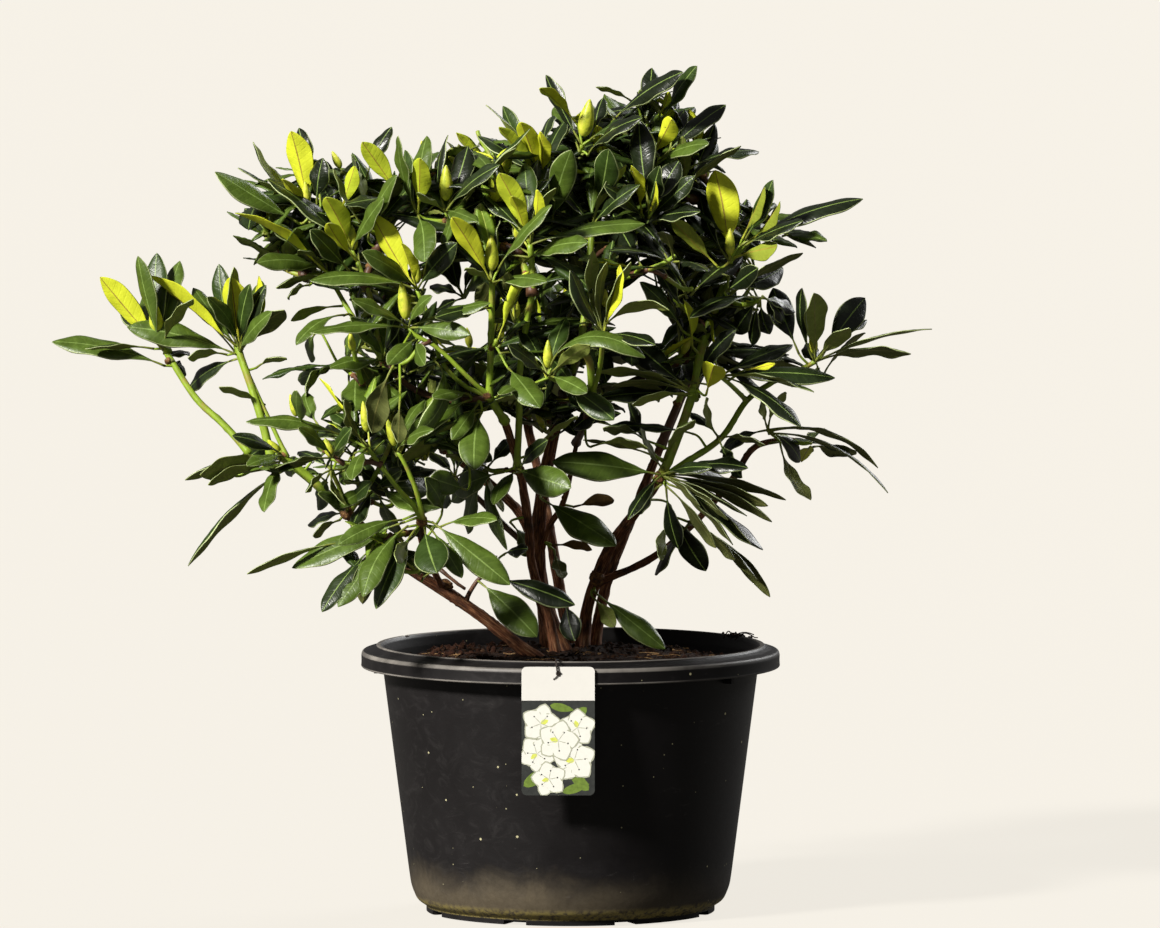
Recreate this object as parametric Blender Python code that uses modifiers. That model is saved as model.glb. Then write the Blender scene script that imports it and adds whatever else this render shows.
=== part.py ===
"""A young evergreen shrub in a wide, low nursery pot.

Frame: metres, +Z up, +X to the right and -Y towards the front. The origin is the
centre of the pot's flat underside. Lengths below are in millimetres.

The plant stands as a clump of bare stems that lean out of one spot in the peat,
forked boughs that climb to the shoots, and the masses of leaves that the shoots
carry. Heights in the tables are as seen from the front, five degrees above the
level, so a point further back really lies a little lower than its row says:
`point` takes that off.
"""

import math

import bmesh
import bpy
from mathutils import Vector, noise

MM = 0.001
GAP = 0.4  # clearance between pieces that touch
SLOPE = math.tan(math.radians(5.0))  # what a point's depth takes off its height

# ---------------------------------------------------------------- the container
POT_HEIGHT = 268.0
RIM_RADIUS = 209.5  # outside of the turned-down band
BAND_TOP, BAND_FOOT = 259.0, 246.0
LIP_RADIUS = 190.5
BODY_TOP, BODY_LOW = (188.0, 246.0), (162.2, 44.0)  # (radius, height) of the taper
FOOT_RADIUS = 144.5
WALL, FLOOR = 3.0, 8.0
POT_SIDES = 30
DRAINS, DRAIN_WIDTH, DRAIN_IN, DRAIN_OUT, DRAIN_UP = 8, 24.0, 118.0, 158.0, 4.6
DRAIN_HOLE_RADIUS, DRAIN_HOLE_AT = 7.0, 127.0

# ---------------------------------------------------------------- the peat
PEAT_TOP, PEAT_FLAT = 259.0, 118.0  # height and radius of the level middle
PEAT_DIP, PEAT_DIP_RIGHT = 10.0, 4.0  # how far its edge is lower, and more so right

# ---------------------------------------------------------------- the hang label
LABEL_WIDTH, LABEL_HEIGHT, LABEL_THICK = 72.0, 127.0, 0.9
LABEL_CORNER, LABEL_HOLE = 5.0, 2.4
LABEL_X, LABEL_TOP = -12.0, 264.5
TIE_RADIUS = 0.9

# ---------------------------------------------------------------- stems and boughs
# name: foot or start (x, y, height), points it bends through, end, radius at start
# and end. A stem whose height is None starts at the peat. `off` names the limb that
# it forks from.
FORK_R, IN_FORK_R = (90.0, -48.0, 435.0), (87.0, -44.5, 431.0)
JOINT_L, IN_JOINT_L = (-223.0, -100.0, 399.0), (-219.0, -98.5, 396.0)
LIMBS = {
    "stem_left": dict(
        path=[(-40, -31, None), (-105, -55, 308), (-162, -76, 345), JOINT_L],
        radius=(7.4, 5.2),
    ),
    "stem_front": dict(
        path=[(-15, 12, None), (-23, 4, 301), (-38, -14, 345), (-43, -38, 397),
              (-52, -66, 447), (-66, -120, 492)],
        radius=(5.4, 4.4),
    ),
    "stem_middle": dict(
        path=[(-10, 44, None), (-29, 42, 320), (-33, 42, 372), (-27, 40, 430),
              (-14, 36, 492)],
        radius=(10.2, 6.6),
    ),
    "stem_back_left": dict(
        path=[(-24, 74, None), (-32, 84, 330), (-47, 104, 393), (-84, 132, 432),
              (-128, 158, 466)],
        radius=(6.6, 4.8),
    ),
    "stem_right": dict(
        path=[(12, 62, None), (19, 52, 312), (39, 26, 364), (62, -8, 396), FORK_R],
        radius=(7.2, 5.6),
    ),
    "stem_back_right": dict(
        path=[(24, 88, None), (36, 104, 328), (62, 146, 396), (92, 196, 470)],
        radius=(6.4, 4.8),
    ),
    "stem_back": dict(
        path=[(-1, 104, None), (-12, 132, 330), (-26, 178, 410), (-46, 226, 500)],
        radius=(6.8, 5.0),
    ),
    "stem_slim": dict(
        path=[(-31, 42, 352), (-22, 34, 384), (-6, 26, 413), (6, 20, 470)],
        radius=(3.4, 2.8),
        off="stem_middle",
    ),
    "bough_left": dict(
        path=[IN_JOINT_L, (-256, -106, 431), (-290, -112, 458)],
        radius=(4.9, 4.5),
        off="stem_left",
    ),
    "bough_low_front": dict(
        path=[(-128, -64, 326), (-140, -110, 350), (-149, -168, 378)],
        radius=(3.9, 3.4),
        off="stem_left",
    ),
    "bough_far_left_upper": dict(
        path=[(-296, -112, 452), (-309, -106, 502), (-331, -92, 566)],
        radius=(4.3, 3.6),
    ),
    "bough_far_left_lower": dict(
        path=[(-318, -114, 458), (-343, -106, 486), (-372, -98, 514), (-403, -84, 562)],
        radius=(3.6, 3.0),
    ),
    "bough_right_upper": dict(
        path=[IN_FORK_R, (100, -54, 457), (121, -58, 517), (132, -52, 568),
              (158, -36, 640)],
        radius=(4.7, 4.0),
        off="stem_right",
    ),
    "bough_side_right": dict(
        path=[(27, 42, 330), (76, 40, 351), (121, 36, 386), (162, 38, 433),
              (184, 42, 465), (214, 46, 474)],
        radius=(4.4, 3.2),
        off="stem_right",
    ),
    "bough_slim_right": dict(
        path=[IN_FORK_R, (112, -44, 448), (150, -30, 474), (176, -16, 512),
              (204, -8, 532)],
        radius=(3.4, 2.8),
        off=("stem_right", "bough_right_upper"),
    ),
}
LIMB_SIDES, LIMB_STEPS = 6, 8  # sides of a limb and lengths along it
FLARE, FLARE_LENGTH = 0.45, 14.0  # how much a foot widens, and over what height
PEEL = 0.07  # unevenness of a limb's thickness

# ---------------------------------------------------------------- leaf masses
# name: centre (x, y, height), half sizes (x, y, height), furthest tips of leaves.
MASSES = {
    # the far left spray, a thin pad that overhangs the pot
    "leaves_far_left": dict(
        at=(-402, -84, 588), half=(92, 56, 50),
        tips=[(-518, -84, 567), (-473, -70, 632), (-420, -96, 658),
              (-334, -80, 641), (-287, -90, 603), (-357, -92, 521)],
    ),
    "leaves_upper_left": dict(
        at=(-252, -52, 688), half=(88, 112, 74),
        tips=[(-354, -60, 739), (-317, -30, 770), (-278, -70, 783),
              (-182, -50, 785), (-326, -120, 694)],
    ),
    "leaves_mid_left": dict(
        at=(-212, -176, 558), half=(78, 100, 70),
        tips=[(-302, -190, 536), (-230, -286, 566)],
    ),
    "leaves_lower_left": dict(
        at=(-306, -112, 436), half=(58, 58, 34),
        tips=[(-382, -120, 346), (-370, -104, 434), (-286, -96, 492)],
    ),
    "leaves_low_front": dict(
        at=(-172, -214, 372), half=(104, 76, 38),
        tips=[(-328, -190, 340), (-248, -226, 300), (-192, -262, 303),
              (-62, -204, 333), (-164, -316, 372)],
    ),
    "leaves_left_core": dict(
        at=(-130, -66, 480), half=(82, 84, 46),
        tips=[(-208, -80, 512)],
        detail=2,
    ),
    "leaves_top_left": dict(
        at=(-106, -96, 716), half=(82, 112, 78),
        tips=[(-172, -90, 774), (-84, -100, 808), (-118, -200, 742)],
    ),
    "leaves_front": dict(
        at=(-78, -226, 560), half=(92, 100, 98),
        tips=[(-70, -338, 600), (-96, -250, 446), (-4, -250, 452)],
    ),
    "leaves_core": dict(
        at=(-10, 12, 528), half=(66, 92, 62),
        tips=[],
        detail=2,
    ),
    "leaves_front_right": dict(
        at=(84, -182, 600), half=(72, 84, 70),
        tips=[(96, -292, 596), (30, -210, 668), (132, -190, 524)],
    ),
    "leaves_centre_low": dict(
        at=(26, -102, 430), half=(42, 34, 32),
        tips=[(46, -104, 366), (-24, -110, 406), (-18, -104, 452)],
        detail=2,
    ),
    "leaves_top": dict(
        at=(56, -4, 742), half=(98, 116, 80),
        tips=[(-24, -10, 838), (82, 10, 845), (125, -20, 847), (153, 0, 806),
              (177, -10, 761), (60, -130, 772)],
    ),
    "leaves_mid_right": dict(
        at=(70, 8, 586), half=(76, 92, 68),
        tips=[],
    ),
    "leaves_upper_right": dict(
        at=(184, -24, 668), half=(72, 104, 56),
        tips=[(291, -30, 713), (145, -60, 741), (204, 0, 731), (241, -20, 706),
              (196, -150, 668)],
    ),
    "leaves_far_right": dict(
        at=(242, -6, 548), half=(74, 78, 50),
        tips=[(361, -10, 584), (340, -16, 557), (295, 4, 613), (246, 0, 618),
              (252, -104, 536)],
    ),
    "leaves_right_low": dict(
        at=(240, 48, 462), half=(56, 52, 26),
        tips=[(318, 40, 418), (250, 52, 411), (310, 70, 452)],
        detail=2,
    ),
    "leaves_low_right": dict(
        at=(142, -66, 392), half=(46, 40, 42),
        tips=[(197, -60, 316), (188, -66, 361), (100, -72, 352), (112, -92, 440)],
        detail=2,
    ),
    "leaves_low_spray": dict(
        at=(-62, -92, 312), half=(34, 18, 14),
        tips=[(-96, -92, 340), (-33, -94, 275), (2, -92, 305)],
        detail=2,
    ),
    "leaves_back_left": dict(
        at=(-206, 128, 626), half=(84, 112, 88),
        tips=[(-296, 140, 668), (-262, 150, 742), (-222, 252, 618)],
    ),
    "leaves_back_top": dict(
        at=(-52, 138, 706), half=(104, 112, 84),
        tips=[(-60, 130, 792), (-130, 180, 776), (20, 160, 808)],
    ),
    "leaves_back": dict(
        at=(-58, 268, 582), half=(106, 92, 84),
        tips=[(-70, 382, 590), (-150, 330, 640), (40, 330, 620), (-60, 300, 460)],
    ),
    "leaves_back_right": dict(
        at=(136, 164, 630), half=(98, 104, 84),
        tips=[(256, 176, 652), (170, 150, 752), (150, 288, 628)],
    ),
    "leaves_back_low_left": dict(
        at=(-168, 160, 474), half=(88, 84, 44),
        tips=[(-262, 176, 436), (-180, 258, 470)],
        detail=2,
    ),
    "leaves_back_low_right": dict(
        at=(78, 216, 520), half=(70, 76, 44),
        tips=[(160, 246, 492), (90, 312, 510)],
        detail=2,
    ),
}
MASS_GAP = 8.0  # between neighbouring masses
UNEVEN = 0.17  # how far a mass's surface swells and sinks
TIP_SPREAD = 0.42  # radians over which a mass draws out to a tip

# ---------------------------------------------------------------- colours
COLOURS = {
    "pot": ((0.018, 0.018, 0.019), 0.42),
    "peat": ((0.035, 0.020, 0.012), 0.95),
    "bark": ((0.16, 0.075, 0.045), 0.85),
    "green_shoot": ((0.22, 0.34, 0.05), 0.55),
    "leaves": ((0.045, 0.12, 0.03), 0.45),
    "card": ((0.80, 0.80, 0.76), 0.40),
    "tie": ((0.02, 0.02, 0.02), 0.50),
}
GREEN = ("bough_left", "bough_far_left_upper", "bough_far_left_lower",
         "bough_right_upper", "bough_slim_right")


def clear_scene():
    for old in list(bpy.data.objects):
        bpy.data.objects.remove(old, do_unlink=True)


def collection(name, hidden=False):
    made = bpy.data.collections.new(name)
    made.hide_render = hidden
    bpy.context.scene.collection.children.link(made)
    return made


def material(name):
    colour, roughness = COLOURS[name]
    made = bpy.data.materials.new(name)
    made.use_nodes = True
    shader = made.node_tree.nodes["Principled BSDF"]
    shader.inputs["Base Color"].default_value = (*colour, 1.0)
    shader.inputs["Roughness"].default_value = roughness
    shader.inputs["Metallic"].default_value = 0.0
    return made


def add(name, mesh, look, into):
    made = bpy.data.objects.new(name, mesh)
    into.objects.link(made)
    if look:
        made.data.materials.clear()
        made.data.materials.append(look)
    return made


def cutter(name, mesh):
    made = add(name, mesh, None, CUTTERS)
    made.hide_render = True
    made.display_type = "WIRE"
    return made


def subtract(body, tool):
    step = body.modifiers.new("minus_" + tool.name, "BOOLEAN")
    step.operation = "DIFFERENCE"
    step.solver = "EXACT"
    step.object = tool
    return step


def point(x, y, height):
    """A place in metres from its row: x, depth, and height as seen from the front."""
    return Vector((x, y, height - y * SLOPE)) * MM


# ================================================================ the container
def pot_profile():
    """(radius, height) down the outside, then along the underside, from the lip."""
    (r_top, z_top), (r_low, z_low) = BODY_TOP, BODY_LOW
    taper = (r_top - r_low) / (z_top - z_low)

    def wall(z):
        return r_low + taper * (z - z_low)

    inside = [(0, FLOOR), (FOOT_RADIUS - 8, FLOOR), (r_low - 10, FLOOR + 7),
              (r_low - WALL - 1, z_low - 10)]
    inside += [(wall(z) - WALL, z) for z in (z_low + 6, (z_low + z_top) / 2, z_top)]
    lip = [(wall(256) - WALL, 256), (LIP_RADIUS - 2.2, 264.6), (LIP_RADIUS, POT_HEIGHT)]
    over = [(LIP_RADIUS + 5, POT_HEIGHT - 0.8), (RIM_RADIUS - 4, BAND_TOP + 3.4),
            (RIM_RADIUS, BAND_TOP)]
    band = [(RIM_RADIUS, BAND_FOOT + 1.4), (RIM_RADIUS - 1.0, BAND_FOOT),
            (RIM_RADIUS - 2.8, BAND_FOOT), (RIM_RADIUS - 3.2, BAND_TOP - 2.6),
            (wall(256) + 1.2, 262.0 - 1.4), (wall(254), 254)]
    outside = [(wall(z), z) for z in (z_top, (z_low + z_top) / 2, z_low)]
    outside += [(r_low - 2.6, 26.0), (r_low - 8.4, 12.5), (FOOT_RADIUS + 1.6, 7.4)]
    foot = [(FOOT_RADIUS, 5.8), (FOOT_RADIUS, 0.6), (FOOT_RADIUS - 0.6, 0), (0, 0)]
    return inside + lip + over + band + outside + foot


def turned(name, profile, sides):
    """A closed mesh turned round Z from a profile that starts and ends on the axis."""
    bm = bmesh.new()
    row = [bm.verts.new((r * MM, 0, z * MM)) for r, z in profile]
    for a, b in zip(row, row[1:]):
        bm.edges.new((a, b))
    mesh = bpy.data.meshes.new(name)
    bm.to_mesh(mesh)
    bm.free()
    shape = bpy.data.objects.new(name, mesh)
    bpy.context.scene.collection.objects.link(shape)
    screw = shape.modifiers.new("turn", "SCREW")
    screw.axis = "Z"
    screw.steps = screw.render_steps = sides
    screw.use_merge_vertices = True
    screw.merge_threshold = 0.0001
    screw.use_normal_calculate = True
    bpy.context.view_layer.update()
    graph = bpy.context.evaluated_depsgraph_get()
    made = bpy.data.meshes.new_from_object(shape.evaluated_get(graph))
    made.name = name
    bpy.data.objects.remove(shape, do_unlink=True)
    bm = bmesh.new()
    bm.from_mesh(made)
    bmesh.ops.remove_doubles(bm, verts=bm.verts, dist=0.00001)
    bmesh.ops.recalc_face_normals(bm, faces=bm.faces)
    bm.to_mesh(made)
    bm.free()
    return made


def shade(mesh, angle=35):
    mesh.shade_smooth()
    mesh.set_sharp_from_angle(angle=math.radians(angle))


def drain_cutters():
    grooves, holes = bmesh.new(), bmesh.new()
    middle = (DRAIN_IN + DRAIN_OUT) / 2
    for k in range(DRAINS):
        turn = (k + 0.5) * 2 * math.pi / DRAINS
        out = Vector((math.cos(turn), math.sin(turn), 0))
        side = Vector((-out.y, out.x, 0))
        box = bmesh.ops.create_cube(grooves, size=1.0)["verts"]
        for v in box:
            along = (middle + v.co.x * (DRAIN_OUT - DRAIN_IN)) * MM
            v.co = (out * along + side * (v.co.y * DRAIN_WIDTH * MM)
                    + Vector((0, 0, (v.co.z + 0.5) * (DRAIN_UP + 3) * MM - 3 * MM)))
        rod = bmesh.ops.create_cone(
            holes, cap_ends=True, segments=10, radius1=DRAIN_HOLE_RADIUS * MM,
            radius2=DRAIN_HOLE_RADIUS * MM, depth=30 * MM)["verts"]
        for v in rod:
            v.co += out * DRAIN_HOLE_AT * MM
    made = []
    for name, bm in (("drain_grooves", grooves), ("drain_holes", holes)):
        bmesh.ops.recalc_face_normals(bm, faces=bm.faces)
        mesh = bpy.data.meshes.new(name)
        bm.to_mesh(mesh)
        bm.free()
        made.append(cutter(name, mesh))
    return made


def make_pot():
    mesh = turned("pot", pot_profile(), POT_SIDES)
    shade(mesh)
    pot = add("pot", mesh, LOOK["pot"], PARTS)
    for tool in drain_cutters():
        subtract(pot, tool)


def make_peat():
    """The root ball: it fills the pot, level round the stems and lower at its edge."""
    (r_top, z_top), (r_low, z_low) = BODY_TOP, BODY_LOW
    taper = (r_top - r_low) / (z_top - z_low)
    edge = PEAT_TOP - PEAT_DIP

    def inside(z):
        return r_low + taper * (z - z_low) - WALL - GAP

    profile = [(0, PEAT_TOP), (PEAT_FLAT / 2, PEAT_TOP), (PEAT_FLAT, PEAT_TOP),
               ((PEAT_FLAT + inside(edge)) / 2, PEAT_TOP - 0.4 * PEAT_DIP),
               (inside(edge) - 3, edge), (inside(236) - 0.2, 236),
               (inside(z_low + 6), z_low + 6),
               (r_low - WALL - 1 - GAP - 0.6, z_low - 9.6),
               (r_low - 10 - GAP, FLOOR + 7.6),
               (FOOT_RADIUS - 9, FLOOR + GAP), (0, FLOOR + GAP)]
    mesh = turned("soil", profile, POT_SIDES)
    low, high = PEAT_FLAT * MM, inside(edge) * MM
    for v in mesh.vertices:
        out = math.hypot(v.co.x, v.co.y)
        if v.co.z > 0.240 and out > low * 1.01:
            share = (out - low) / (high - low)
            lump = noise.noise(Vector((v.co.x * 22, v.co.y * 22, 3.1)))
            v.co.z -= share * PEAT_DIP_RIGHT * MM * (0.5 + 0.5 * v.co.x / out)
            v.co.z += 2.2 * MM * lump * min(1.0, 2 * share) - 0.6 * MM * share
    shade(mesh)
    add("soil", mesh, LOOK["peat"], PARTS)


# ================================================================ the hang label
def make_label():
    """A stiff card that hangs against the rim, with a round hole for its tie."""
    curve = bpy.data.curves.new("label", "CURVE")
    curve.dimensions = "2D"
    curve.fill_mode = "BOTH"
    curve.extrude = LABEL_THICK / 2 * MM
    w, h, c = LABEL_WIDTH / 2, LABEL_HEIGHT / 2, LABEL_CORNER
    outline = []
    for cx, cy, start in ((w - c, h - c, 0), (c - w, h - c, 90), (c - w, c - h, 180),
                          (w - c, c - h, 270)):
        for k in range(4):
            a = math.radians(start + 30 * k)
            outline.append((cx + c * math.cos(a), cy + c * math.sin(a)))
    hole = [(LABEL_HOLE * math.cos(math.radians(30 * k)),
             h - 7 + LABEL_HOLE * math.sin(math.radians(30 * k))) for k in range(12)]
    for ring in (outline, hole):
        spline = curve.splines.new("POLY")
        spline.points.add(len(ring) - 1)
        for p, (x, y) in zip(spline.points, ring):
            p.co = (x * MM, y * MM, 0, 1)
        spline.use_cyclic_u = True
    flat = bpy.data.objects.new("label_outline", curve)
    bpy.context.scene.collection.objects.link(flat)
    mesh = meshed(flat, "label")
    label = add("label", mesh, LOOK["card"], PARTS)
    label.rotation_euler = (math.radians(90), 0, 0)
    label.location = Vector((LABEL_X, -(RIM_RADIUS + GAP + LABEL_THICK / 2),
                             LABEL_TOP - LABEL_HEIGHT / 2)) * MM


def meshed(shape, name):
    """The object's shape as a mesh in world space. The object itself is removed."""
    bpy.context.view_layer.update()
    graph = bpy.context.evaluated_depsgraph_get()
    made = bpy.data.meshes.new_from_object(shape.evaluated_get(graph))
    made.name = name
    made.transform(shape.matrix_world)
    bpy.data.objects.remove(shape, do_unlink=True)
    bm = bmesh.new()
    bm.from_mesh(made)
    bmesh.ops.remove_doubles(bm, verts=bm.verts, dist=0.000002)
    bmesh.ops.recalc_face_normals(bm, faces=bm.faces)
    bm.to_mesh(made)
    bm.free()
    return made


def make_tie():
    """A slim strap from the label's hole, over the rim and down inside the pot."""
    card = RIM_RADIUS + GAP + LABEL_THICK / 2
    hole = LABEL_TOP - 7
    path = [(-card + 2.6, hole - 1.1), (-card - 0.6, hole), (-card - 2.4, hole + 4.0),
            (-card - 1.8, hole + 9.0), (-card + 5, hole + 13.2),
            (-LIP_RADIUS - 2, POT_HEIGHT + 2.0), (-LIP_RADIUS + 5.5, POT_HEIGHT - 1),
            (-LIP_RADIUS + 8.5, POT_HEIGHT - 8)]
    path = [Vector((LABEL_X, y, z)) * MM for y, z in path]
    # the first stretch stays in the hole, clear of the band behind the card
    path[0] = Vector((LABEL_X, -card + 0.2, hole)) * MM
    mesh = tube("label_tie", smooth(path, 16), [TIE_RADIUS * MM] * 16, 6)
    add("label_tie", mesh, LOOK["tie"], PARTS)


# ================================================================ limbs
def smooth(points, count):
    """count points along a Catmull-Rom curve through the given ones, evenly spaced."""
    ends = [points[0] * 2 - points[1], *points, points[-1] * 2 - points[-2]]
    fine = []
    for k in range(1, len(ends) - 2):
        p0, p1, p2, p3 = ends[k - 1:k + 3]
        for s in range(24):
            t = s / 24
            fine.append(0.5 * (2 * p1 + (p2 - p0) * t
                               + (2 * p0 - 5 * p1 + 4 * p2 - p3) * t * t
                               + (3 * p1 - p0 - 3 * p2 + p3) * t ** 3))
    fine.append(points[-1].copy())
    run = [0.0]
    for a, b in zip(fine, fine[1:]):
        run.append(run[-1] + (b - a).length)
    made, k = [], 0
    for i in range(count):
        want = run[-1] * i / (count - 1)
        while k < len(run) - 2 and run[k + 1] < want:
            k += 1
        share = (want - run[k]) / max(run[k + 1] - run[k], 1e-9)
        made.append(fine[k].lerp(fine[k + 1], min(1.0, share)))
    return made


def tube(name, path, radii, sides):
    """A round limb along the path with filled caps, as a welded mesh."""
    curve = bpy.data.curves.new(name, "CURVE")
    curve.dimensions = "3D"
    curve.bevel_depth = radii[0]
    curve.bevel_resolution = max(0, (sides - 4) // 2)
    curve.use_fill_caps = True
    spline = curve.splines.new("POLY")
    spline.points.add(len(path) - 1)
    for p, co, r in zip(spline.points, path, radii):
        p.co = (*co, 1)
        p.radius = r / radii[0]
    shape = bpy.data.objects.new(name, curve)
    bpy.context.scene.collection.objects.link(shape)
    return meshed(shape, name)


def limb_mesh(name, extra=0.0):
    """A tapering limb, grown all round by extra. A stem's foot flares and is cut level."""
    row = LIMBS[name]
    x, y, height = row["path"][0]
    rooted = height is None
    rest = [point(*p) for p in row["path"][1:]]
    if rooted:
        foot = Vector((x, y, PEAT_TOP + GAP)) * MM
        rest = [foot - (rest[0] - foot).normalized() * 26 * MM, foot, *rest]
    else:
        rest = [point(x, y, height), *rest]
    path = smooth(rest, LIMB_STEPS + 1)
    if extra:  # a grown copy also reaches past both ends
        path[0] -= (path[1] - path[0]).normalized() * extra * MM
        path[-1] += (path[-1] - path[-2]).normalized() * extra * MM
    start, end = row["radius"]
    radii = []
    for k, p in enumerate(path):
        share = k / LIMB_STEPS
        r = start + (end - start) * share
        r *= 1 + PEEL * noise.noise(p * 40)
        if rooted:
            up = max(0.0, p.z / MM - PEAT_TOP)
            r *= 1 + FLARE * math.exp(-up / FLARE_LENGTH)
        radii.append((r + extra) * MM)
    mesh = tube(name, path, radii, LIMB_SIDES)
    if rooted and not extra:
        bm = bmesh.new()
        bm.from_mesh(mesh)
        bmesh.ops.bisect_plane(
            bm, geom=[*bm.verts, *bm.edges, *bm.faces], dist=1e-7,
            plane_co=(0, 0, (PEAT_TOP + GAP) * MM), plane_no=(0, 0, 1), clear_inner=True)
        bmesh.ops.holes_fill(bm, edges=[e for e in bm.edges if e.is_boundary], sides=0)
        bmesh.ops.recalc_face_normals(bm, faces=bm.faces)
        bm.to_mesh(mesh)
        bm.free()
    return mesh


# ================================================================ leaf masses
def reach(half, way):
    """How far an ellipsoid of these half sizes reaches along a unit vector."""
    return 1 / math.sqrt(sum((w / h) ** 2 for w, h in zip(way, half)))


def mass_centre(name):
    return point(*MASSES[name]["at"]) / MM


def walls_round(name):
    """The planes (distance along, unit normal) that part a mass from its neighbours."""
    own = mass_centre(name)
    half = MASSES[name]["half"]
    found = []
    for other, row in MASSES.items():
        if other == name:
            continue
        between = mass_centre(other) - own
        way = between.normalized()
        mine, theirs = reach(half, way), reach(row["half"], way)
        found.append((between.length * mine / (mine + theirs) - MASS_GAP / 2, way))
    return found


def mass_mesh(name, extra=0.0):
    """An uneven closed solid that draws out to the tips of its furthest leaves."""
    row = MASSES[name]
    own, half = mass_centre(name), row["half"]
    seed = sum(ord(letter) for letter in name) * 0.37
    tips = [point(*t) / MM - own for t in row["tips"]]
    walls = walls_round(name)
    bm = bmesh.new()
    bmesh.ops.create_icosphere(bm, subdivisions=row.get("detail", 3), radius=1.0)
    ways = {v: v.co.normalized() for v in bm.verts}
    far = {}
    for v, way in ways.items():
        r = reach(half, way)
        lump = noise.noise(way * 1.7 + Vector((seed, 0, 0)))
        lump += 0.6 * noise.noise(way * 3.6 + Vector((0, seed, 0)))
        r *= 1 + UNEVEN * lump
        for tip in tips:
            angle = way.angle(tip)
            r += max(0.0, 0.86 * tip.length - r) * math.exp(-((angle / TIP_SPREAD) ** 2))
        far[v] = r
    for tip in tips:
        v = min(ways, key=lambda u: ways[u].angle(tip))
        ways[v], far[v] = tip.normalized(), tip.length
    for v, way in ways.items():
        r = far[v]
        for away, normal in walls:
            facing = way.dot(normal)
            if facing > 1e-6:
                r = min(r, away / facing)
        v.co = (own + way * (r + extra)) * MM
    bmesh.ops.recalc_face_normals(bm, faces=bm.faces)
    mesh = bpy.data.meshes.new(name)
    bm.to_mesh(mesh)
    bm.free()
    return mesh


def near(a, b):
    """Whether the boxes of two meshes come within a few millimetres of each other."""
    spans = []
    for mesh in (a, b):
        cos = [v.co for v in mesh.vertices]
        spans.append([(min(c[k] for c in cos), max(c[k] for c in cos))
                      for k in range(3)])
    return all(p[0] < q[1] + 3 * MM and q[0] < p[1] + 3 * MM for p, q in zip(*spans))


def make_plant():
    solids = {name: mass_mesh(name) for name in MASSES}
    for name, mesh in solids.items():
        shade(mesh, 180)
        add(name, mesh, LOOK["leaves"], PARTS)
    grown = {}
    for name, row in LIMBS.items():
        mesh = limb_mesh(name)
        shade(mesh, 60)
        look = "green_shoot" if name in GREEN else "bark"
        limb = add(name, mesh, LOOK[look], PARTS)
        forks = row.get("off", ())
        for parent in (forks,) if isinstance(forks, str) else forks:
            key = "round_" + parent
            if key not in grown:
                grown[key] = cutter(key, limb_mesh(parent, GAP))
            subtract(limb, grown[key])
        for other, solid in solids.items():
            if near(mesh, solid):
                key = "round_" + other
                if key not in grown:
                    grown[key] = cutter(key, mass_mesh(other, 2 * GAP))
                subtract(limb, grown[key])


clear_scene()
PARTS = collection("potted_shrub")
CUTTERS = collection("cutters", hidden=True)
LOOK = {name: material(name) for name in COLOURS}
make_pot()
make_peat()
make_label()
make_tie()
make_plant()
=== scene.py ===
"""The looks of a young evergreen shrub in a low nursery pot, grown round its CAD frame.

All making is done in millimetres, in the frame's axes: +X to the right, -Y towards the
front, +Z up. The leaves that face the camera are set one by one in small whorls, from
where their tips and feet are seen. The rest of the crown is grown by a seeded rule from
the frame's leaf masses, and stays open where the sky shows through.
"""

import math

import bmesh
import bpy
import numpy as np
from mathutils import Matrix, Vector
from mathutils.bvhtree import BVHTree
from mathutils.geometry import tessellate_polygon


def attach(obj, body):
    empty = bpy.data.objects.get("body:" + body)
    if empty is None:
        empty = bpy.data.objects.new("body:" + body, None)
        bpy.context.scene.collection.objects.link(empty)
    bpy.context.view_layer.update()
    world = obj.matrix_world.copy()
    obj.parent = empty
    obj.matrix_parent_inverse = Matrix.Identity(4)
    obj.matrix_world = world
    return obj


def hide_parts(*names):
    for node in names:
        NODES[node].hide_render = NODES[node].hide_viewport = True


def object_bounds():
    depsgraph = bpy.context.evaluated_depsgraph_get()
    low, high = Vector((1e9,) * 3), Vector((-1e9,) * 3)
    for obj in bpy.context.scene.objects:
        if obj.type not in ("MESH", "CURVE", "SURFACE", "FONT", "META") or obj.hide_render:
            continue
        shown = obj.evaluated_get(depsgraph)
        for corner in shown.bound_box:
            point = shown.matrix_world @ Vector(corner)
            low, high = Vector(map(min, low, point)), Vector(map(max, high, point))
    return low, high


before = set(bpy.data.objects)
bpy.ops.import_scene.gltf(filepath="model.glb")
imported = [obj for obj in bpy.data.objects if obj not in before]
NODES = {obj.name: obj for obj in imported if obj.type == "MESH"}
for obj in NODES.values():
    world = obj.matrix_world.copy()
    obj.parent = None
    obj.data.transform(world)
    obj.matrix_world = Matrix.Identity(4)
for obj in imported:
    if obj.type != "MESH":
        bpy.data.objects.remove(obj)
CAD_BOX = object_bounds()

MM = 0.001
SLOPE = math.tan(math.radians(5.0))
Z_AXIS = np.array((0.0, 0.0, 1.0))
RNG = np.random.default_rng(4207)


# ================================================================ the camera's ray
TILT, DISTANCE, FOCAL = math.radians(4.35), 12000.0, 12000.0
FRAME_WIDE, FRAME_HIGH = 1160, 928
AIM = np.array((9.5, 0.0, 448.6))
FORWARD = np.array((0.0, math.cos(TILT), -math.sin(TILT)))
UPWARD = np.array((0.0, math.sin(TILT), math.cos(TILT)))
EYE = AIM - DISTANCE * FORWARD


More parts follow.
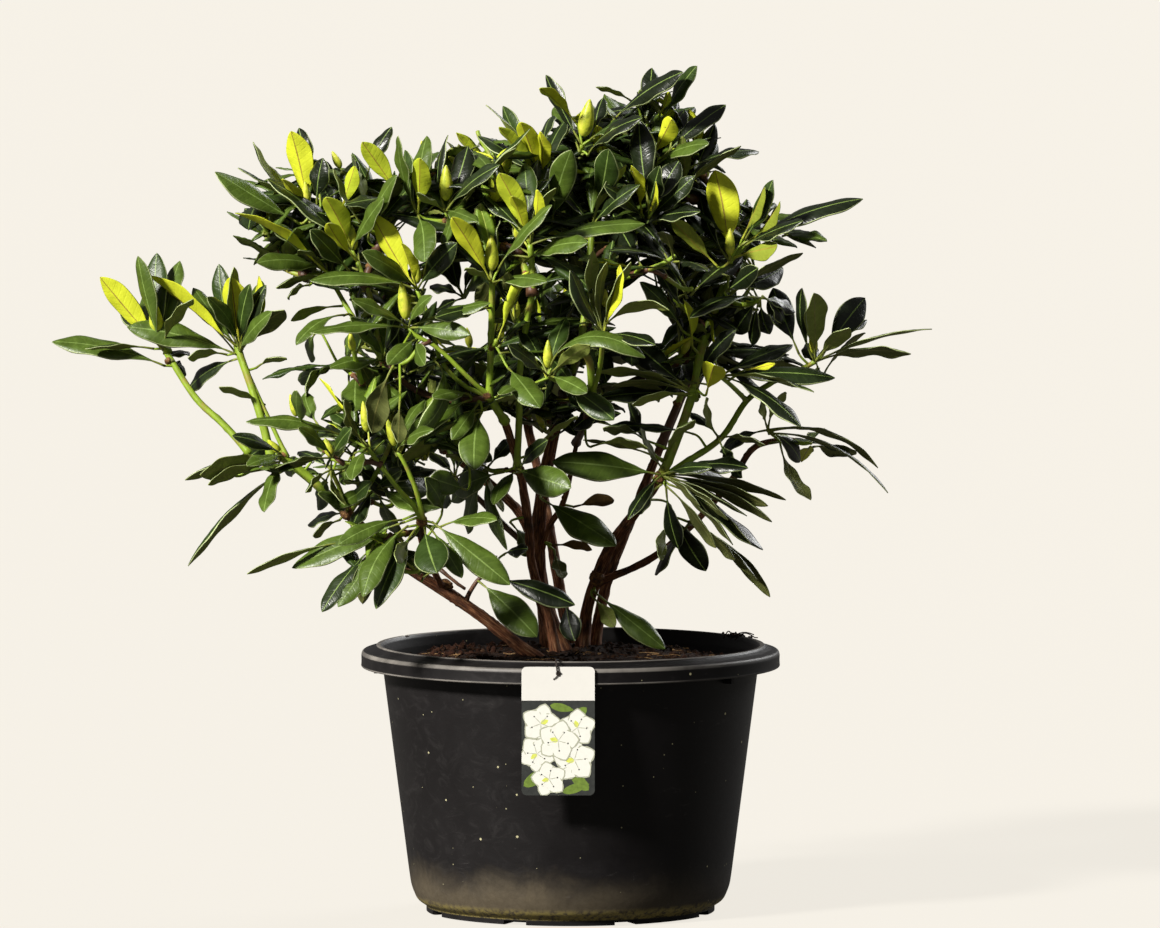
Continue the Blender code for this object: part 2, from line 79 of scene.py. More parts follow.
def spot(px, py, depth):
    """The point at this depth (Y) that the camera sees at a place in its frame."""
    ray = (FORWARD + np.array((1.0, 0, 0)) * (px - FRAME_WIDE / 2) / FOCAL
           + UPWARD * (FRAME_HIGH / 2 - py) / FOCAL)
    return EYE + ray * ((depth - EYE[1]) / ray[1])


def seen(points):
    """Where the camera sees these points, in its frame."""
    away = np.asarray(points) - EYE
    far = away @ FORWARD
    return np.stack([FRAME_WIDE / 2 + FOCAL * away[..., 0] / far,
                     FRAME_HIGH / 2 - FOCAL * (away @ UPWARD) / far], -1)


def row_point(x, y, height):
    """A place from a row of the frame's tables, whose heights are as seen from the front."""
    return np.array((x, y, height - y * SLOPE), float)


# ================================================================ small sums
def unit(v):
    v = np.asarray(v, float)
    return v / np.maximum(np.linalg.norm(v, axis=-1, keepdims=True), 1e-9)


def smoothstep(x, low, high):
    t = np.clip((np.asarray(x, float) - low) / (high - low), 0, 1)
    return t * t * (3 - 2 * t)


def field(points, seed=0):
    """Smooth noise between -1 and 1 at each point, one cell to a unit."""
    p = np.asarray(points, float)
    cell = np.floor(p).astype(np.int64)
    part = p - cell
    part = part * part * (3 - 2 * part)
    total = np.zeros(p.shape[:-1])
    for corner in range(8):
        step = np.array([(corner >> k) & 1 for k in range(3)])
        i, j, k = np.moveaxis(cell + step, -1, 0)
        n = (i * 73856093) ^ (j * 19349663) ^ (k * 83492791) ^ (seed * 374761393)
        n = n & 0x7FFFFFFF
        n = ((n ^ (n >> 13)) * 1274126177) & 0x7FFFFFFF
        n = (n ^ (n >> 16)) & 0xFFFF
        weight = np.prod(np.where(step, part, 1 - part), -1)
        total += weight * (n / 32767.5 - 1)
    return total


def catmull(points, step):
    """Points about a step apart along a smooth curve through the given ones."""
    p = np.asarray(points, float)
    ends = np.vstack([2 * p[0] - p[1], p, 2 * p[-1] - p[-2]])
    fine = []
    for k in range(1, len(ends) - 2):
        p0, p1, p2, p3 = ends[k - 1:k + 3]
        t = np.linspace(0, 1, 24, endpoint=False)[:, None]
        fine.append(0.5 * (2 * p1 + (p2 - p0) * t + (2 * p0 - 5 * p1 + 4 * p2 - p3) * t**2
                           + (3 * p1 - p0 - 3 * p2 + p3) * t**3))
    fine = np.vstack([*fine, p[-1:]])
    run = np.concatenate([[0], np.cumsum(np.linalg.norm(np.diff(fine, axis=0), axis=1))])
    count = max(2, int(round(run[-1] / step)) + 1)
    want = np.linspace(0, run[-1], count)
    return np.stack([np.interp(want, run, fine[:, k]) for k in range(3)], -1)


def bezier(a, b, c, d, step):
    length = (np.linalg.norm(b - a) + np.linalg.norm(c - b) + np.linalg.norm(d - c)
              + np.linalg.norm(d - a)) / 2
    t = np.linspace(0, 1, max(4, int(length / step) + 1))[:, None]
    return (a * (1 - t)**3 + 3 * b * t * (1 - t)**2 + 3 * c * t * t * (1 - t) + d * t**3)


def along(path):
    """Distance from the start to each point of a path."""
    return np.concatenate([[0], np.cumsum(np.linalg.norm(np.diff(path, axis=0), axis=1))])


def carried(path):
    """Tangent, side and normal at each point, carried along without twisting."""
    tangent = unit(np.gradient(path, axis=0))
    side = np.cross(tangent[0], (0, 0, 1) if abs(tangent[0][2]) < 0.9 else (1, 0, 0))
    sides = [unit(side)]
    for k in range(1, len(path)):
        s = sides[-1] - tangent[k] * (sides[-1] @ tangent[k])
        sides.append(unit(s))
    sides = np.array(sides)
    return tangent, sides, np.cross(sides, tangent)


# ================================================================ meshes from arrays
class Shape:
    """Vertices, faces with a look's number, and a flat coordinate on each vertex."""

    def __init__(self):
        self.points, self.flat, self.quads, self.tris = [], [], [], []
        self.quad_looks, self.tri_looks, self.count = [], [], 0

    def add(self, points, quads=None, tris=None, look=0, flat=None):
        points = np.asarray(points, float).reshape(-1, 3)
        self.points.append(points)
        self.flat.append(np.zeros((len(points), 2)) if flat is None
                         else np.asarray(flat, float).reshape(-1, 2))
        for faces, into, looks, size in ((quads, self.quads, self.quad_looks, 4),
                                         (tris, self.tris, self.tri_looks, 3)):
            if faces is None or not len(faces):
                continue
            faces = np.asarray(faces, np.int64).reshape(-1, size)
            into.append(faces + self.count)
            chosen = look[size] if isinstance(look, dict) else look
            looks.append(np.broadcast_to(np.asarray(chosen, np.int64), (len(faces),)))
        self.count += len(points)

    def triangles(self):
        return 2 * sum(map(len, self.quads)) + sum(map(len, self.tris))

    def object(self, name, looks, smooth=True, angle=None):
        points = np.concatenate(self.points)
        flat = np.concatenate(self.flat)
        quads = np.concatenate(self.quads) if self.quads else np.empty((0, 4), np.int64)
        tris = np.concatenate(self.tris) if self.tris else np.empty((0, 3), np.int64)
        corner = np.concatenate([quads.ravel(), tris.ravel()])
        start = np.concatenate([np.arange(len(quads)) * 4,
                                4 * len(quads) + np.arange(len(tris)) * 3])
        which = np.concatenate([*self.quad_looks, *self.tri_looks])
        mesh = bpy.data.meshes.new(name)
        mesh.vertices.add(len(points))
        mesh.vertices.foreach_set("co", (points * MM).astype(np.float32).ravel())
        mesh.loops.add(len(corner))
        mesh.loops.foreach_set("vertex_index", corner.astype(np.int32))
        mesh.polygons.add(len(start))
        mesh.polygons.foreach_set("loop_start", start.astype(np.int32))
        mesh.polygons.foreach_set("material_index", which.astype(np.int32))
        mesh.polygons.foreach_set("use_smooth", np.full(len(start), smooth))
        mesh.update(calc_edges=True)
        layer = mesh.uv_layers.new(name="flat")
        layer.data.foreach_set("uv", flat[corner].astype(np.float32).ravel())
        mesh.validate()
        for look in looks:
            mesh.materials.append(look)
        if angle:
            mesh.set_sharp_from_angle(angle=math.radians(angle))
        made = bpy.data.objects.new(name, mesh)
        bpy.context.scene.collection.objects.link(made)
        return made


def tube(shape, path, radii, sides, relief=None, look=0, caps=True, spread=1.0):
    """A round limb along a path. relief(points, along, around) adds to its radius."""
    path = np.asarray(path, float)
    count = len(path)
    _, side, up = carried(path)
    turn = np.linspace(0, 2 * math.pi, sides, endpoint=False)
    ring = (side[:, None] * np.cos(turn)[None, :, None]
            + up[:, None] * np.sin(turn)[None, :, None])
    radii = np.broadcast_to(np.asarray(radii, float), (count,))
    run = along(path)
    out = np.repeat(radii[:, None], sides, 1)
    if relief is not None:
        base = path[:, None] + ring * out[..., None]
        out = out + relief(base, run[:, None] + 0 * out, turn[None] + 0 * out)
    points = path[:, None] + ring * out[..., None]
    flat = np.stack([np.repeat(turn[None] * spread, count, 0) / (2 * math.pi),
                     np.repeat(run[:, None], sides, 1) * 0.01], -1)
    a = np.arange(count - 1)[:, None] * sides + np.arange(sides)[None]
    b = np.arange(count - 1)[:, None] * sides + (np.arange(sides)[None] + 1) % sides
    quads = np.stack([a, b, b + sides, a + sides], -1).reshape(-1, 4)
    points, flat = points.reshape(-1, 3), flat.reshape(-1, 2)
    tris = []
    if caps:
        ends = np.vstack([path[0] - 0.3 * radii[0] * unit(path[1] - path[0]),
                          path[-1] + 0.5 * radii[-1] * unit(path[-1] - path[-2])])
        points = np.vstack([points, ends])
        flat = np.vstack([flat, [(0, 0), (0, run[-1] * 0.01)]])
        n, last = count * sides, (count - 1) * sides
        for k in range(sides):
            tris.append((n, (k + 1) % sides, k))
            tris.append((n + 1, last + k, last + (k + 1) % sides))
    shape.add(points, quads, tris, look, flat)


def ball(shape, centre, axis, half_long, half_wide, rows, sides, relief=None, look=0,
         taper=0.0):
    """A closed, longish lump about an axis, drawn out towards its tip by taper."""
    axis = unit(axis)
    side = unit(np.cross(axis, (0, 0, 1) if abs(axis[2]) < 0.9 else (1, 0, 0)))
    up = np.cross(side, axis)
    tilt = np.linspace(-math.pi / 2, math.pi / 2, rows + 2)[1:-1]
    turn = np.linspace(0, 2 * math.pi, sides, endpoint=False)
    share = (np.sin(tilt) + 1) / 2
    wide = half_wide * np.cos(tilt) * (1 - taper * share**1.6)
    radial = side[None] * np.cos(turn)[:, None] + up[None] * np.sin(turn)[:, None]
    out = np.repeat(wide[:, None], sides, 1)
    if relief is not None:
        out = out * (1 + relief(np.repeat(share[:, None], sides, 1),
                                np.repeat(turn[None], rows, 0)))
    points = (centre + axis[None, None] * (half_long * np.sin(tilt))[:, None, None]
              + radial[None] * out[..., None]).reshape(-1, 3)
    ends = np.vstack([centre - axis * half_long, centre + axis * half_long])
    points = np.vstack([points, ends])
    a = np.arange(rows - 1)[:, None] * sides + np.arange(sides)[None]
    b = np.arange(rows - 1)[:, None] * sides + (np.arange(sides)[None] + 1) % sides
    quads = np.stack([a, b, b + sides, a + sides], -1).reshape(-1, 4)
    n, last = rows * sides, (rows - 1) * sides
    tris = [(n, (k + 1) % sides, k) for k in range(sides)]
    tris += [(n + 1, last + k, last + (k + 1) % sides) for k in range(sides)]
    shape.add(points, quads, tris, look)


# ================================================================ leaves
# A leaf is a thin closed blade on a short round stalk. Its rows of points run along
# its side veins, in chevrons, and every second row lies deeper, which quilts it.
MIDRIB = 0.05
UPPER = np.array((-1, -0.93, -0.5, -MIDRIB, MIDRIB, 0.5, 0.93, 1.0))
# The fine plan's narrow margin columns take the edge look, a pale painted highlight along each leaf's margin.
FINE = dict(
    across=np.concatenate([UPPER, (0.93, 0.5, MIDRIB, -MIDRIB, -0.5, -0.93)]),
    face=np.array((0, 1, 1, 1, 1, 1, 1, 0, -1, -1, -1, -1, -1, -1)),
    looks=("edge", "upper", "upper", "rib", "upper", "upper", "edge",
           "under", "under", "under", "keel", "under", "under", "under"),
    rows=21,
)
PLAIN = dict(
    across=np.array((-1, -0.5, -MIDRIB, MIDRIB, 0.5, 1.0, 0.5, MIDRIB, -MIDRIB, -0.5)),
    face=np.array((0, 1, 1, 1, 1, 0, -1, -1, -1, -1)),
    looks=("upper", "upper", "rib", "upper", "upper",
           "under", "under", "keel", "under", "under"),
    rows=17,
)
STALK_ROWS = np.array((0.0, 0.35, 0.7))  # of the stalk's own length
LEAF_LOOKS = ["upper_dark_a", "upper_dark_b", "upper_mid", "upper_fresh",
              "under_fresh_a", "under_fresh_b", "under_mid", "under_olive",
              "rib_dark", "rib_fresh", "keel_shade_fresh", "keel_olive", "edge", "stalk",
              "stalk_fresh", "upper_shade", "dry", "under_fresh_c"]
LOOK = {name: k for k, name in enumerate(LEAF_LOOKS)}
LENGTH_EXPONENTS = (1.12, 0.80)
PEAK = LENGTH_EXPONENTS[0] / sum(LENGTH_EXPONENTS)
PEAK = PEAK**LENGTH_EXPONENTS[0] * (1 - PEAK)**LENGTH_EXPONENTS[1]
FIELDS = ("base", "tip", "up", "width", "bend", "fold", "roll", "twist", "sweep", "wave",
          "phase", "stalk", "upper", "under", "rib", "keel", "petiole", "thick")


def leaf(base, tip, up, width, kind, rng, bend=None, looks=None, wave=1.0):
    """One leaf's row: where it starts and ends, the way its upper face looks, its form."""
    old = kind in "dmus"
    length = float(np.linalg.norm(np.subtract(tip, base)))
    if bend is None:
        bend = rng.uniform(0.30, 0.75) if old else rng.uniform(0.08, 0.35)
    row = dict(
        base=np.asarray(base, float), tip=np.asarray(tip, float), up=unit(up),
        width=float(width), bend=float(bend),
        fold=rng.uniform(0.06, 0.20) if old else rng.uniform(0.30, 0.48),
        roll=rng.uniform(0.22, 0.42) if old else rng.uniform(0.0, 0.12),
        twist=rng.normal(0, 0.16), sweep=rng.normal(0, 0.022),
        wave=wave * (rng.uniform(0.7, 2.1) if old else rng.uniform(0.5, 1.2)),
        phase=rng.uniform(0, 6.28), stalk=min(0.2, rng.uniform(14, 19) / length),
        thick=0.42 if old else 0.36,
    )
    if looks is None:
        looks = dealt(kind, rng, base[0], base[2])
    row["upper"], row["under"] = LOOK[looks[0]], LOOK[looks[1]]
    fresh = "fresh" in looks[1]
    row["rib"] = LOOK["rib_fresh" if "fresh" in looks[0] else "rib_dark"]
    # the keel of a young leaf is a darker brown, a painted shadow along its raised midrib
    row["keel"] = LOOK["keel_shade_fresh" if fresh else "keel_olive"]
    row["petiole"] = LOOK["stalk_fresh" if fresh else "stalk"]
    if looks[0] == "dry":
        row["rib"] = row["keel"] = row["petiole"] = LOOK["dry"]
    return row


def dealt(kind, rng, x, z):
    """The colours of a leaf's two sides, by its age and place; the place paints shade and light on them."""
    # painted shade: towards the right and low in the crown, and always for edge-on leaves low at the right, leaves are
    # dealt the darkest shaded colours
    shaded = smoothstep(x, -20, 120) * (0.75 - 0.45 * smoothstep(z, 620, 780))
    shaded = max(shaded, 0.5 * float(smoothstep(-z, -470, -380) * smoothstep(x, -90, -20)))
    if kind == "e" and x > 40 and z < 520:
        shaded = 1.0
    if kind == "s" or (kind in "dme" and rng.random() < shaded):
        return "upper_shade", "under_olive"
    # painted light: dark leaves at the left are often dealt the lighter mid green
    if kind == "d" and x < -60 and rng.random() < 0.45:
        return "upper_mid", "under_mid"
    if kind == "m" and z < 400 and x < 0 and rng.random() < 0.8:
        return "upper_dark_b", "under_mid"
    if kind == "y":
        return "upper_fresh", "under_fresh_a" if rng.random() < 0.6 else "under_fresh_b"
    if kind == "u":
        return "upper_mid", "under_mid" if rng.random() < 0.55 else "under_olive"
    if kind == "m":
        return "upper_mid", "under_mid"
    if kind == "e":
        return "upper_dark_b", "under_mid"
    if kind == "k":
        return "dry", "dry"
    return "upper_dark_a" if rng.random() < 0.6 else "upper_dark_b", "under_olive"


def stack(rows):
    return {key: np.array([row[key] for row in rows]) for key in FIELDS}


def blade(s, stalk_share, width):
    """Half the width at share s of the blade."""
    a, b = LENGTH_EXPONENTS
    s = np.clip(s, 0, 1)
    return width / 2 * (s**a * (1 - s)**b) / PEAK


def laid(many, t, v, face, relief=None):
    """Points of many leaves, at shares t of the length and v of the half width."""
    base, tip = many["base"][:, None, None], many["tip"][:, None, None]
    chord = np.linalg.norm(tip - base, axis=-1, keepdims=True)
    way = (tip - base) / chord
    up = many["up"][:, None, None] - way * (many["up"][:, None, None] * way).sum(-1, keepdims=True)
    up = unit(up)
    side = np.cross(way, up)
    bend = many["bend"][:, None, None]
    bend = np.where(np.abs(bend) < 0.02, 0.02, bend)
    length = chord[..., 0] * (bend / 2) / np.sin(bend / 2)
    angle = bend * (0.5 - t)
    at = (length / bend)[..., None] * (
        (np.sin(bend / 2) - np.sin(angle))[..., None] * way
        + (np.cos(angle) - np.cos(bend / 2))[..., None] * up)
    normal = -np.sin(angle)[..., None] * way + np.cos(angle)[..., None] * up
    spin = many["twist"][:, None, None] * (t - 0.3) * 2
    spun = np.cos(spin)[..., None] * normal + np.sin(spin)[..., None] * side
    across = np.cos(spin)[..., None] * side - np.sin(spin)[..., None] * normal
    at = at + side * (many["sweep"][:, None, None] * np.sin(np.pi * np.clip(t, 0, 1)) * length)[..., None]
    stalk = many["stalk"][:, None, None]
    s = (t - stalk) / (1 - stalk)
    half = blade(s, stalk, many["width"][:, None, None])
    size = np.abs(v)
    lift = half * (many["fold"][:, None, None] * size - many["roll"][:, None, None] * size**3)
    ripple = np.sin(2 * np.pi * (2.6 * t) + many["phase"][:, None, None] + 1.9 * np.sign(v))
    lift = lift + many["wave"][:, None, None] * size**2 * ripple * smoothstep(s, 0.05, 0.3) * smoothstep(1 - s, 0.0, 0.25)
    x = half * v
    z = lift + face * many["thick"][:, None, None]
    rib = np.exp(-(v / 0.1)**2)
    z = z - rib * np.where(face < 0, 1.15 * (1 - 0.75 * np.clip(s, 0, 1)), 0)
    z = z - rib * np.where(face > 0, 0.35 * (1 - np.clip(s, 0, 1)), 0)
    if relief is not None:
        z = z + relief
    x = np.where(np.abs(v) < 0.1, np.sign(v) * np.maximum(np.abs(x), 0.42), x)
    return base + at, across, spun, x, z, s


def leaf_points(many, t=None, v=(-0.9, -0.45, 0.0, 0.45, 0.9)):
    """A net of points on many leaves, to tell where they would lie."""
    t = np.linspace(0.06, 1.0, 20) if t is None else np.asarray(t, float)
    v = np.asarray(v, float)
    tt = np.broadcast_to(t[None, :, None], (1, len(t), len(v)))
    vv = np.broadcast_to(v[None, None, :], tt.shape)
    at, across, normal, x, z, _ = laid(many, tt, vv, np.zeros_like(vv))
    return at + across * x[..., None] + normal * z[..., None]


def add_leaves(shape, rows, plan):
    """Adds the mesh of many leaves of one plan."""
    if not rows:
        return
    many = stack(rows)
    across, face = plan["across"], plan["face"]
    n, k = len(rows), len(across)
    s_rows = np.linspace(0, 1, plan["rows"])
    stalk = many["stalk"][:, None]
    t = np.concatenate([STALK_ROWS[None] * stalk, stalk + (1 - stalk) * s_rows[None]], 1)
    r = t.shape[1]
    s = np.clip((t - stalk) / (1 - stalk), 0, 1)
    shift = 0.085 * np.sin(np.pi * s)**0.8 * (s > 0) * (s < 1)
    tt = t[:, :, None] + shift[:, :, None] * np.abs(across)[None, None]
    vv = np.broadcast_to(across[None, None], tt.shape)
    ff = np.broadcast_to(face[None, None], tt.shape).astype(float)
    beat = np.where(np.arange(r) % 2 == 0, -1.0, 1.0)[None, :, None]
    quilt = np.interp(np.abs(across), (0, MIDRIB, 0.5, 0.93, 1), (0, 0, 1.0, 0.45, 0))
    gentle = smoothstep(s, 0.04, 0.2) * smoothstep(1 - s, 0.0, 0.2)
    depth = 0.09 if plan is FINE else 0.28
    relief = depth * beat * quilt[None, None] * gentle[:, :, None]
    at, side, normal, x, z, s3 = laid(many, tt, vv, ff, relief)
    round_angle = np.pi - np.arange(k) * 2 * np.pi / k
    radius = 1.35 - 0.35 * np.clip(tt / many["stalk"][:, None, None], 0, 1)
    tip_share = smoothstep(s3, 0.97, 1.0)
    flat = smoothstep(tt / many["stalk"][:, None, None], 0.75, 1.55)
    x_blade = np.where(np.abs(vv) >= 0.1, np.sign(vv) * np.maximum(np.abs(x), 0.25), x)
    x = (1 - flat) * radius * np.cos(round_angle) + flat * x_blade
    z = (1 - flat) * radius * np.sin(round_angle) * 0.9 + flat * z
    x = x * (1 - 0.5 * tip_share)
    points = at + side * x[..., None] + normal * z[..., None]
    half = np.abs(x) / 20.0
    coords = np.stack([half, np.broadcast_to(np.arange(r)[None, :, None] / 2.0, half.shape)], -1)
    each = r * k
    a = np.arange(r - 1)[:, None] * k + np.arange(k)[None]
    b = np.arange(r - 1)[:, None] * k + (np.arange(k)[None] + 1) % k
    quads = np.stack([a, b, b + k, a + k], -1)  # rows, columns, corners
    tris = []
    last = (r - 1) * k
    for i in range(1, k - 1):
        tris.append((0, i + 1, i))
        tris.append((last, last + i, last + i + 1))
    tris = np.array(tris)
    offset = (np.arange(n) * each)[:, None, None]
    all_quads = quads.reshape(-1, 4)[None] + offset
    all_tris = tris[None] + offset
    table = np.empty((n, r - 1, k), np.int64)
    for column, name in enumerate(plan["looks"]):
        value = {"edge": np.full(n, LOOK["edge"]), "upper": many["upper"],
                 "under": many["under"], "rib": many["rib"], "keel": many["keel"]}[name]
        value = np.where((name == "edge") & (many["upper"] == LOOK["dry"]), LOOK["dry"], value)
        table[:, :, column] = value[:, None]
    table[:, :len(STALK_ROWS)] = many["petiole"][:, None, None]
    shape.add(points.reshape(-1, 3), all_quads.reshape(-1, 4), all_tris.reshape(-1, 3),
              {4: table.reshape(-1), 3: np.repeat(many["under"], len(tris))},
              coords.reshape(-1, 2))


# ================================================================ what the frame holds
MASSES = sorted(name for name in NODES if name.startswith("leaves_"))


def node_mesh(name):
    mesh = NODES[name].data
    points = np.empty(len(mesh.vertices) * 3, np.float32)
    mesh.vertices.foreach_get("co", points)
    mesh.calc_loop_triangles()
    faces = np.empty(len(mesh.loop_triangles) * 3, np.int32)
    mesh.loop_triangles.foreach_get("vertices", faces)
    return points.reshape(-1, 3).astype(float) / MM, faces.reshape(-1, 3)


MASS_MESH = {name: node_mesh(name) for name in MASSES}
MASS_TREE = {name: BVHTree.FromPolygons([tuple(p) for p in points], faces.tolist())
             for name, (points, faces) in MASS_MESH.items()}
MASS_BOX = {name: (points.min(0), points.max(0)) for name, (points, _) in MASS_MESH.items()}


def outside_by(point, only=None):
    """How far a point is outside the nearest leaf mass; below zero is inside it."""
    best, best_name = 1e9, None
    for name in only or MASSES:
        low, high = MASS_BOX[name]
        gap = np.maximum(np.maximum(low - point, point - high), 0)
        if (gap @ gap) > best * abs(best) and best > 0:
            continue
        co, normal, _, distance = MASS_TREE[name].find_nearest(Vector(point))
        value = distance if (Vector(point) - co).dot(normal) > 0 else -distance
        if value < best:
            best, best_name = value, name
    return best, best_name


CELL = 4.0  # of the frame, in the rough picture of where leaves may be seen


def painted(points, faces, grid):
    """Marks the cells that these triangles cover as the camera sees them."""
    flat = seen(points) / CELL
    for tri in faces:
        a, b, c = flat[tri]
        x0, y0 = np.floor(np.minimum(np.minimum(a, b), c)).astype(int)
        x1, y1 = np.ceil(np.maximum(np.maximum(a, b), c)).astype(int)
        gx, gy = np.meshgrid(np.arange(x0, x1 + 1), np.arange(y0, y1 + 1))
        area = (b[0] - a[0]) * (c[1] - a[1]) - (b[1] - a[1]) * (c[0] - a[0])
        if abs(area) < 1e-6:
            continue
        u = ((gx - a[0]) * (c[1] - a[1]) - (gy - a[1]) * (c[0] - a[0])) / area
        v = ((b[0] - a[0]) * (gy - a[1]) - (b[1] - a[1]) * (gx - a[0])) / area
        hit = (u >= -0.02) & (v >= -0.02) & (u + v <= 1.02)
        grid[gy[hit], gx[hit]] = True


ALLOWED = np.zeros((int(FRAME_HIGH / CELL) + 2, int(FRAME_WIDE / CELL) + 2), bool)
for _points, _faces in MASS_MESH.values():
    painted(_points, _faces, ALLOWED)

# Where the sky shows through the crown: left, top, right and foot of each gap.
SKY = [(283, 285, 330, 345), (188, 395, 258, 432), (258, 398, 290, 425),
       (556, 480, 602, 562), (640, 400, 700, 440), (620, 283, 658, 330),
       (770, 250, 800, 300), (742, 323, 772, 340), (785, 313, 800, 335),
       (500, 480, 522, 535), (610, 364, 640, 376),
       (462, 315, 480, 345), (444, 266, 464, 280), (487, 410, 500, 455),
       (415, 465, 440, 480), (575, 365, 590, 390), (400, 225, 415, 250),
       (430, 500, 480, 515)]
for _left, _top, _right, _foot in SKY:
    ALLOWED[int(_top / CELL):int(_foot / CELL) + 1, int(_left / CELL):int(_right / CELL) + 1] = False


# Only the listed leaves make the crown's upper outline.
WITHIN = ALLOWED.copy()
for _down, _across in ((4, 0), (3, 2), (3, -2)):
    WITHIN &= np.roll(ALLOWED, (_down, _across), (0, 1))
ALLOWED[:84] = WITHIN[:84]


def allowed_share(points):
    """For each leaf's points, the share that may be seen there."""
    flat = np.floor(seen(points) / CELL).astype(int)
    x = np.clip(flat[..., 0], 0, ALLOWED.shape[1] - 1)
    y = np.clip(flat[..., 1], 0, ALLOWED.shape[0] - 1)
    return ALLOWED[y, x].mean(axis=tuple(range(1, flat.ndim - 1)))


# ================================================================ limbs of the frame
PEAT_TOP = 259.0
FORK_R, IN_FORK_R = (90.0, -48.0, 435.0), (87.0, -44.5, 431.0)
JOINT_L, IN_JOINT_L = (-223.0, -100.0, 399.0), (-219.0, -98.5, 396.0)
LIMBS = {
    "stem_left": ([(-40, -31, None), (-105, -55, 308), (-162, -76, 345), JOINT_L],
                  (7.4, 5.2)),
    "stem_front": ([(-15, 12, None), (-23, 4, 301), (-38, -14, 345), (-43, -38, 397),
                    (-52, -66, 447), (-66, -120, 492)], (5.4, 4.4)),
    "stem_middle": ([(-10, 44, None), (-29, 42, 320), (-33, 42, 372), (-27, 40, 430),
                     (-14, 36, 492)], (10.2, 6.6)),
    "stem_back_left": ([(-24, 74, None), (-32, 84, 330), (-47, 104, 393),
                        (-84, 132, 432), (-128, 158, 466)], (6.6, 4.8)),
    "stem_right": ([(12, 62, None), (19, 52, 312), (39, 26, 364), (62, -8, 396), FORK_R],
                   (7.2, 5.6)),
    "stem_back_right": ([(24, 88, None), (36, 104, 328), (62, 146, 396), (92, 196, 470)],
                        (6.4, 4.8)),
    "stem_back": ([(-1, 104, None), (-12, 132, 330), (-26, 178, 410), (-46, 226, 500)],
                  (6.8, 5.0)),
    "stem_slim": ([(-31, 42, 352), (-22, 34, 384), (-6, 26, 413), (6, 20, 470)],
                  (3.4, 2.8)),
    "bough_low_front": ([(-128, -64, 326), (-140, -110, 350), (-149, -168, 378)],
                        (3.9, 3.4)),
    "bough_side_right": ([(27, 42, 330), (76, 40, 351), (121, 36, 386), (162, 38, 433),
                          (184, 42, 465), (214, 46, 474)], (4.4, 3.2)),
    "bough_left": ([IN_JOINT_L, (-256, -106, 431), (-290, -112, 458)], (4.9, 4.5)),
    "bough_far_left_upper": ([(-296, -112, 452), (-309, -106, 502), (-331, -92, 566)],
                             (4.3, 3.6)),
    "bough_far_left_lower": ([(-318, -114, 458), (-343, -106, 486), (-372, -98, 514),
                              (-403, -84, 562)], (3.6, 3.0)),
    "bough_right_upper": ([IN_FORK_R, (100, -54, 457), (121, -58, 517), (132, -52, 568),
                           (158, -36, 640)], (4.7, 4.0)),
    "bough_slim_right": ([IN_FORK_R, (112, -44, 448), (150, -30, 474), (176, -16, 512),
                          (204, -8, 532)], (3.4, 2.8)),
}
GREEN = ("bough_left", "bough_far_left_upper", "bough_far_left_lower",
         "bough_right_upper", "bough_slim_right")


def limb_path(name, step):
    rows, _ = LIMBS[name]
    x, y, height = rows[0]
    rest = [row_point(*p) for p in rows[1:]]
    if height is None:
        foot = np.array((x, y, PEAT_TOP + 0.4))
        return catmull([foot - unit(rest[0] - foot) * 16, foot, *rest], step)
    return catmull([row_point(x, y, height), *rest], step)
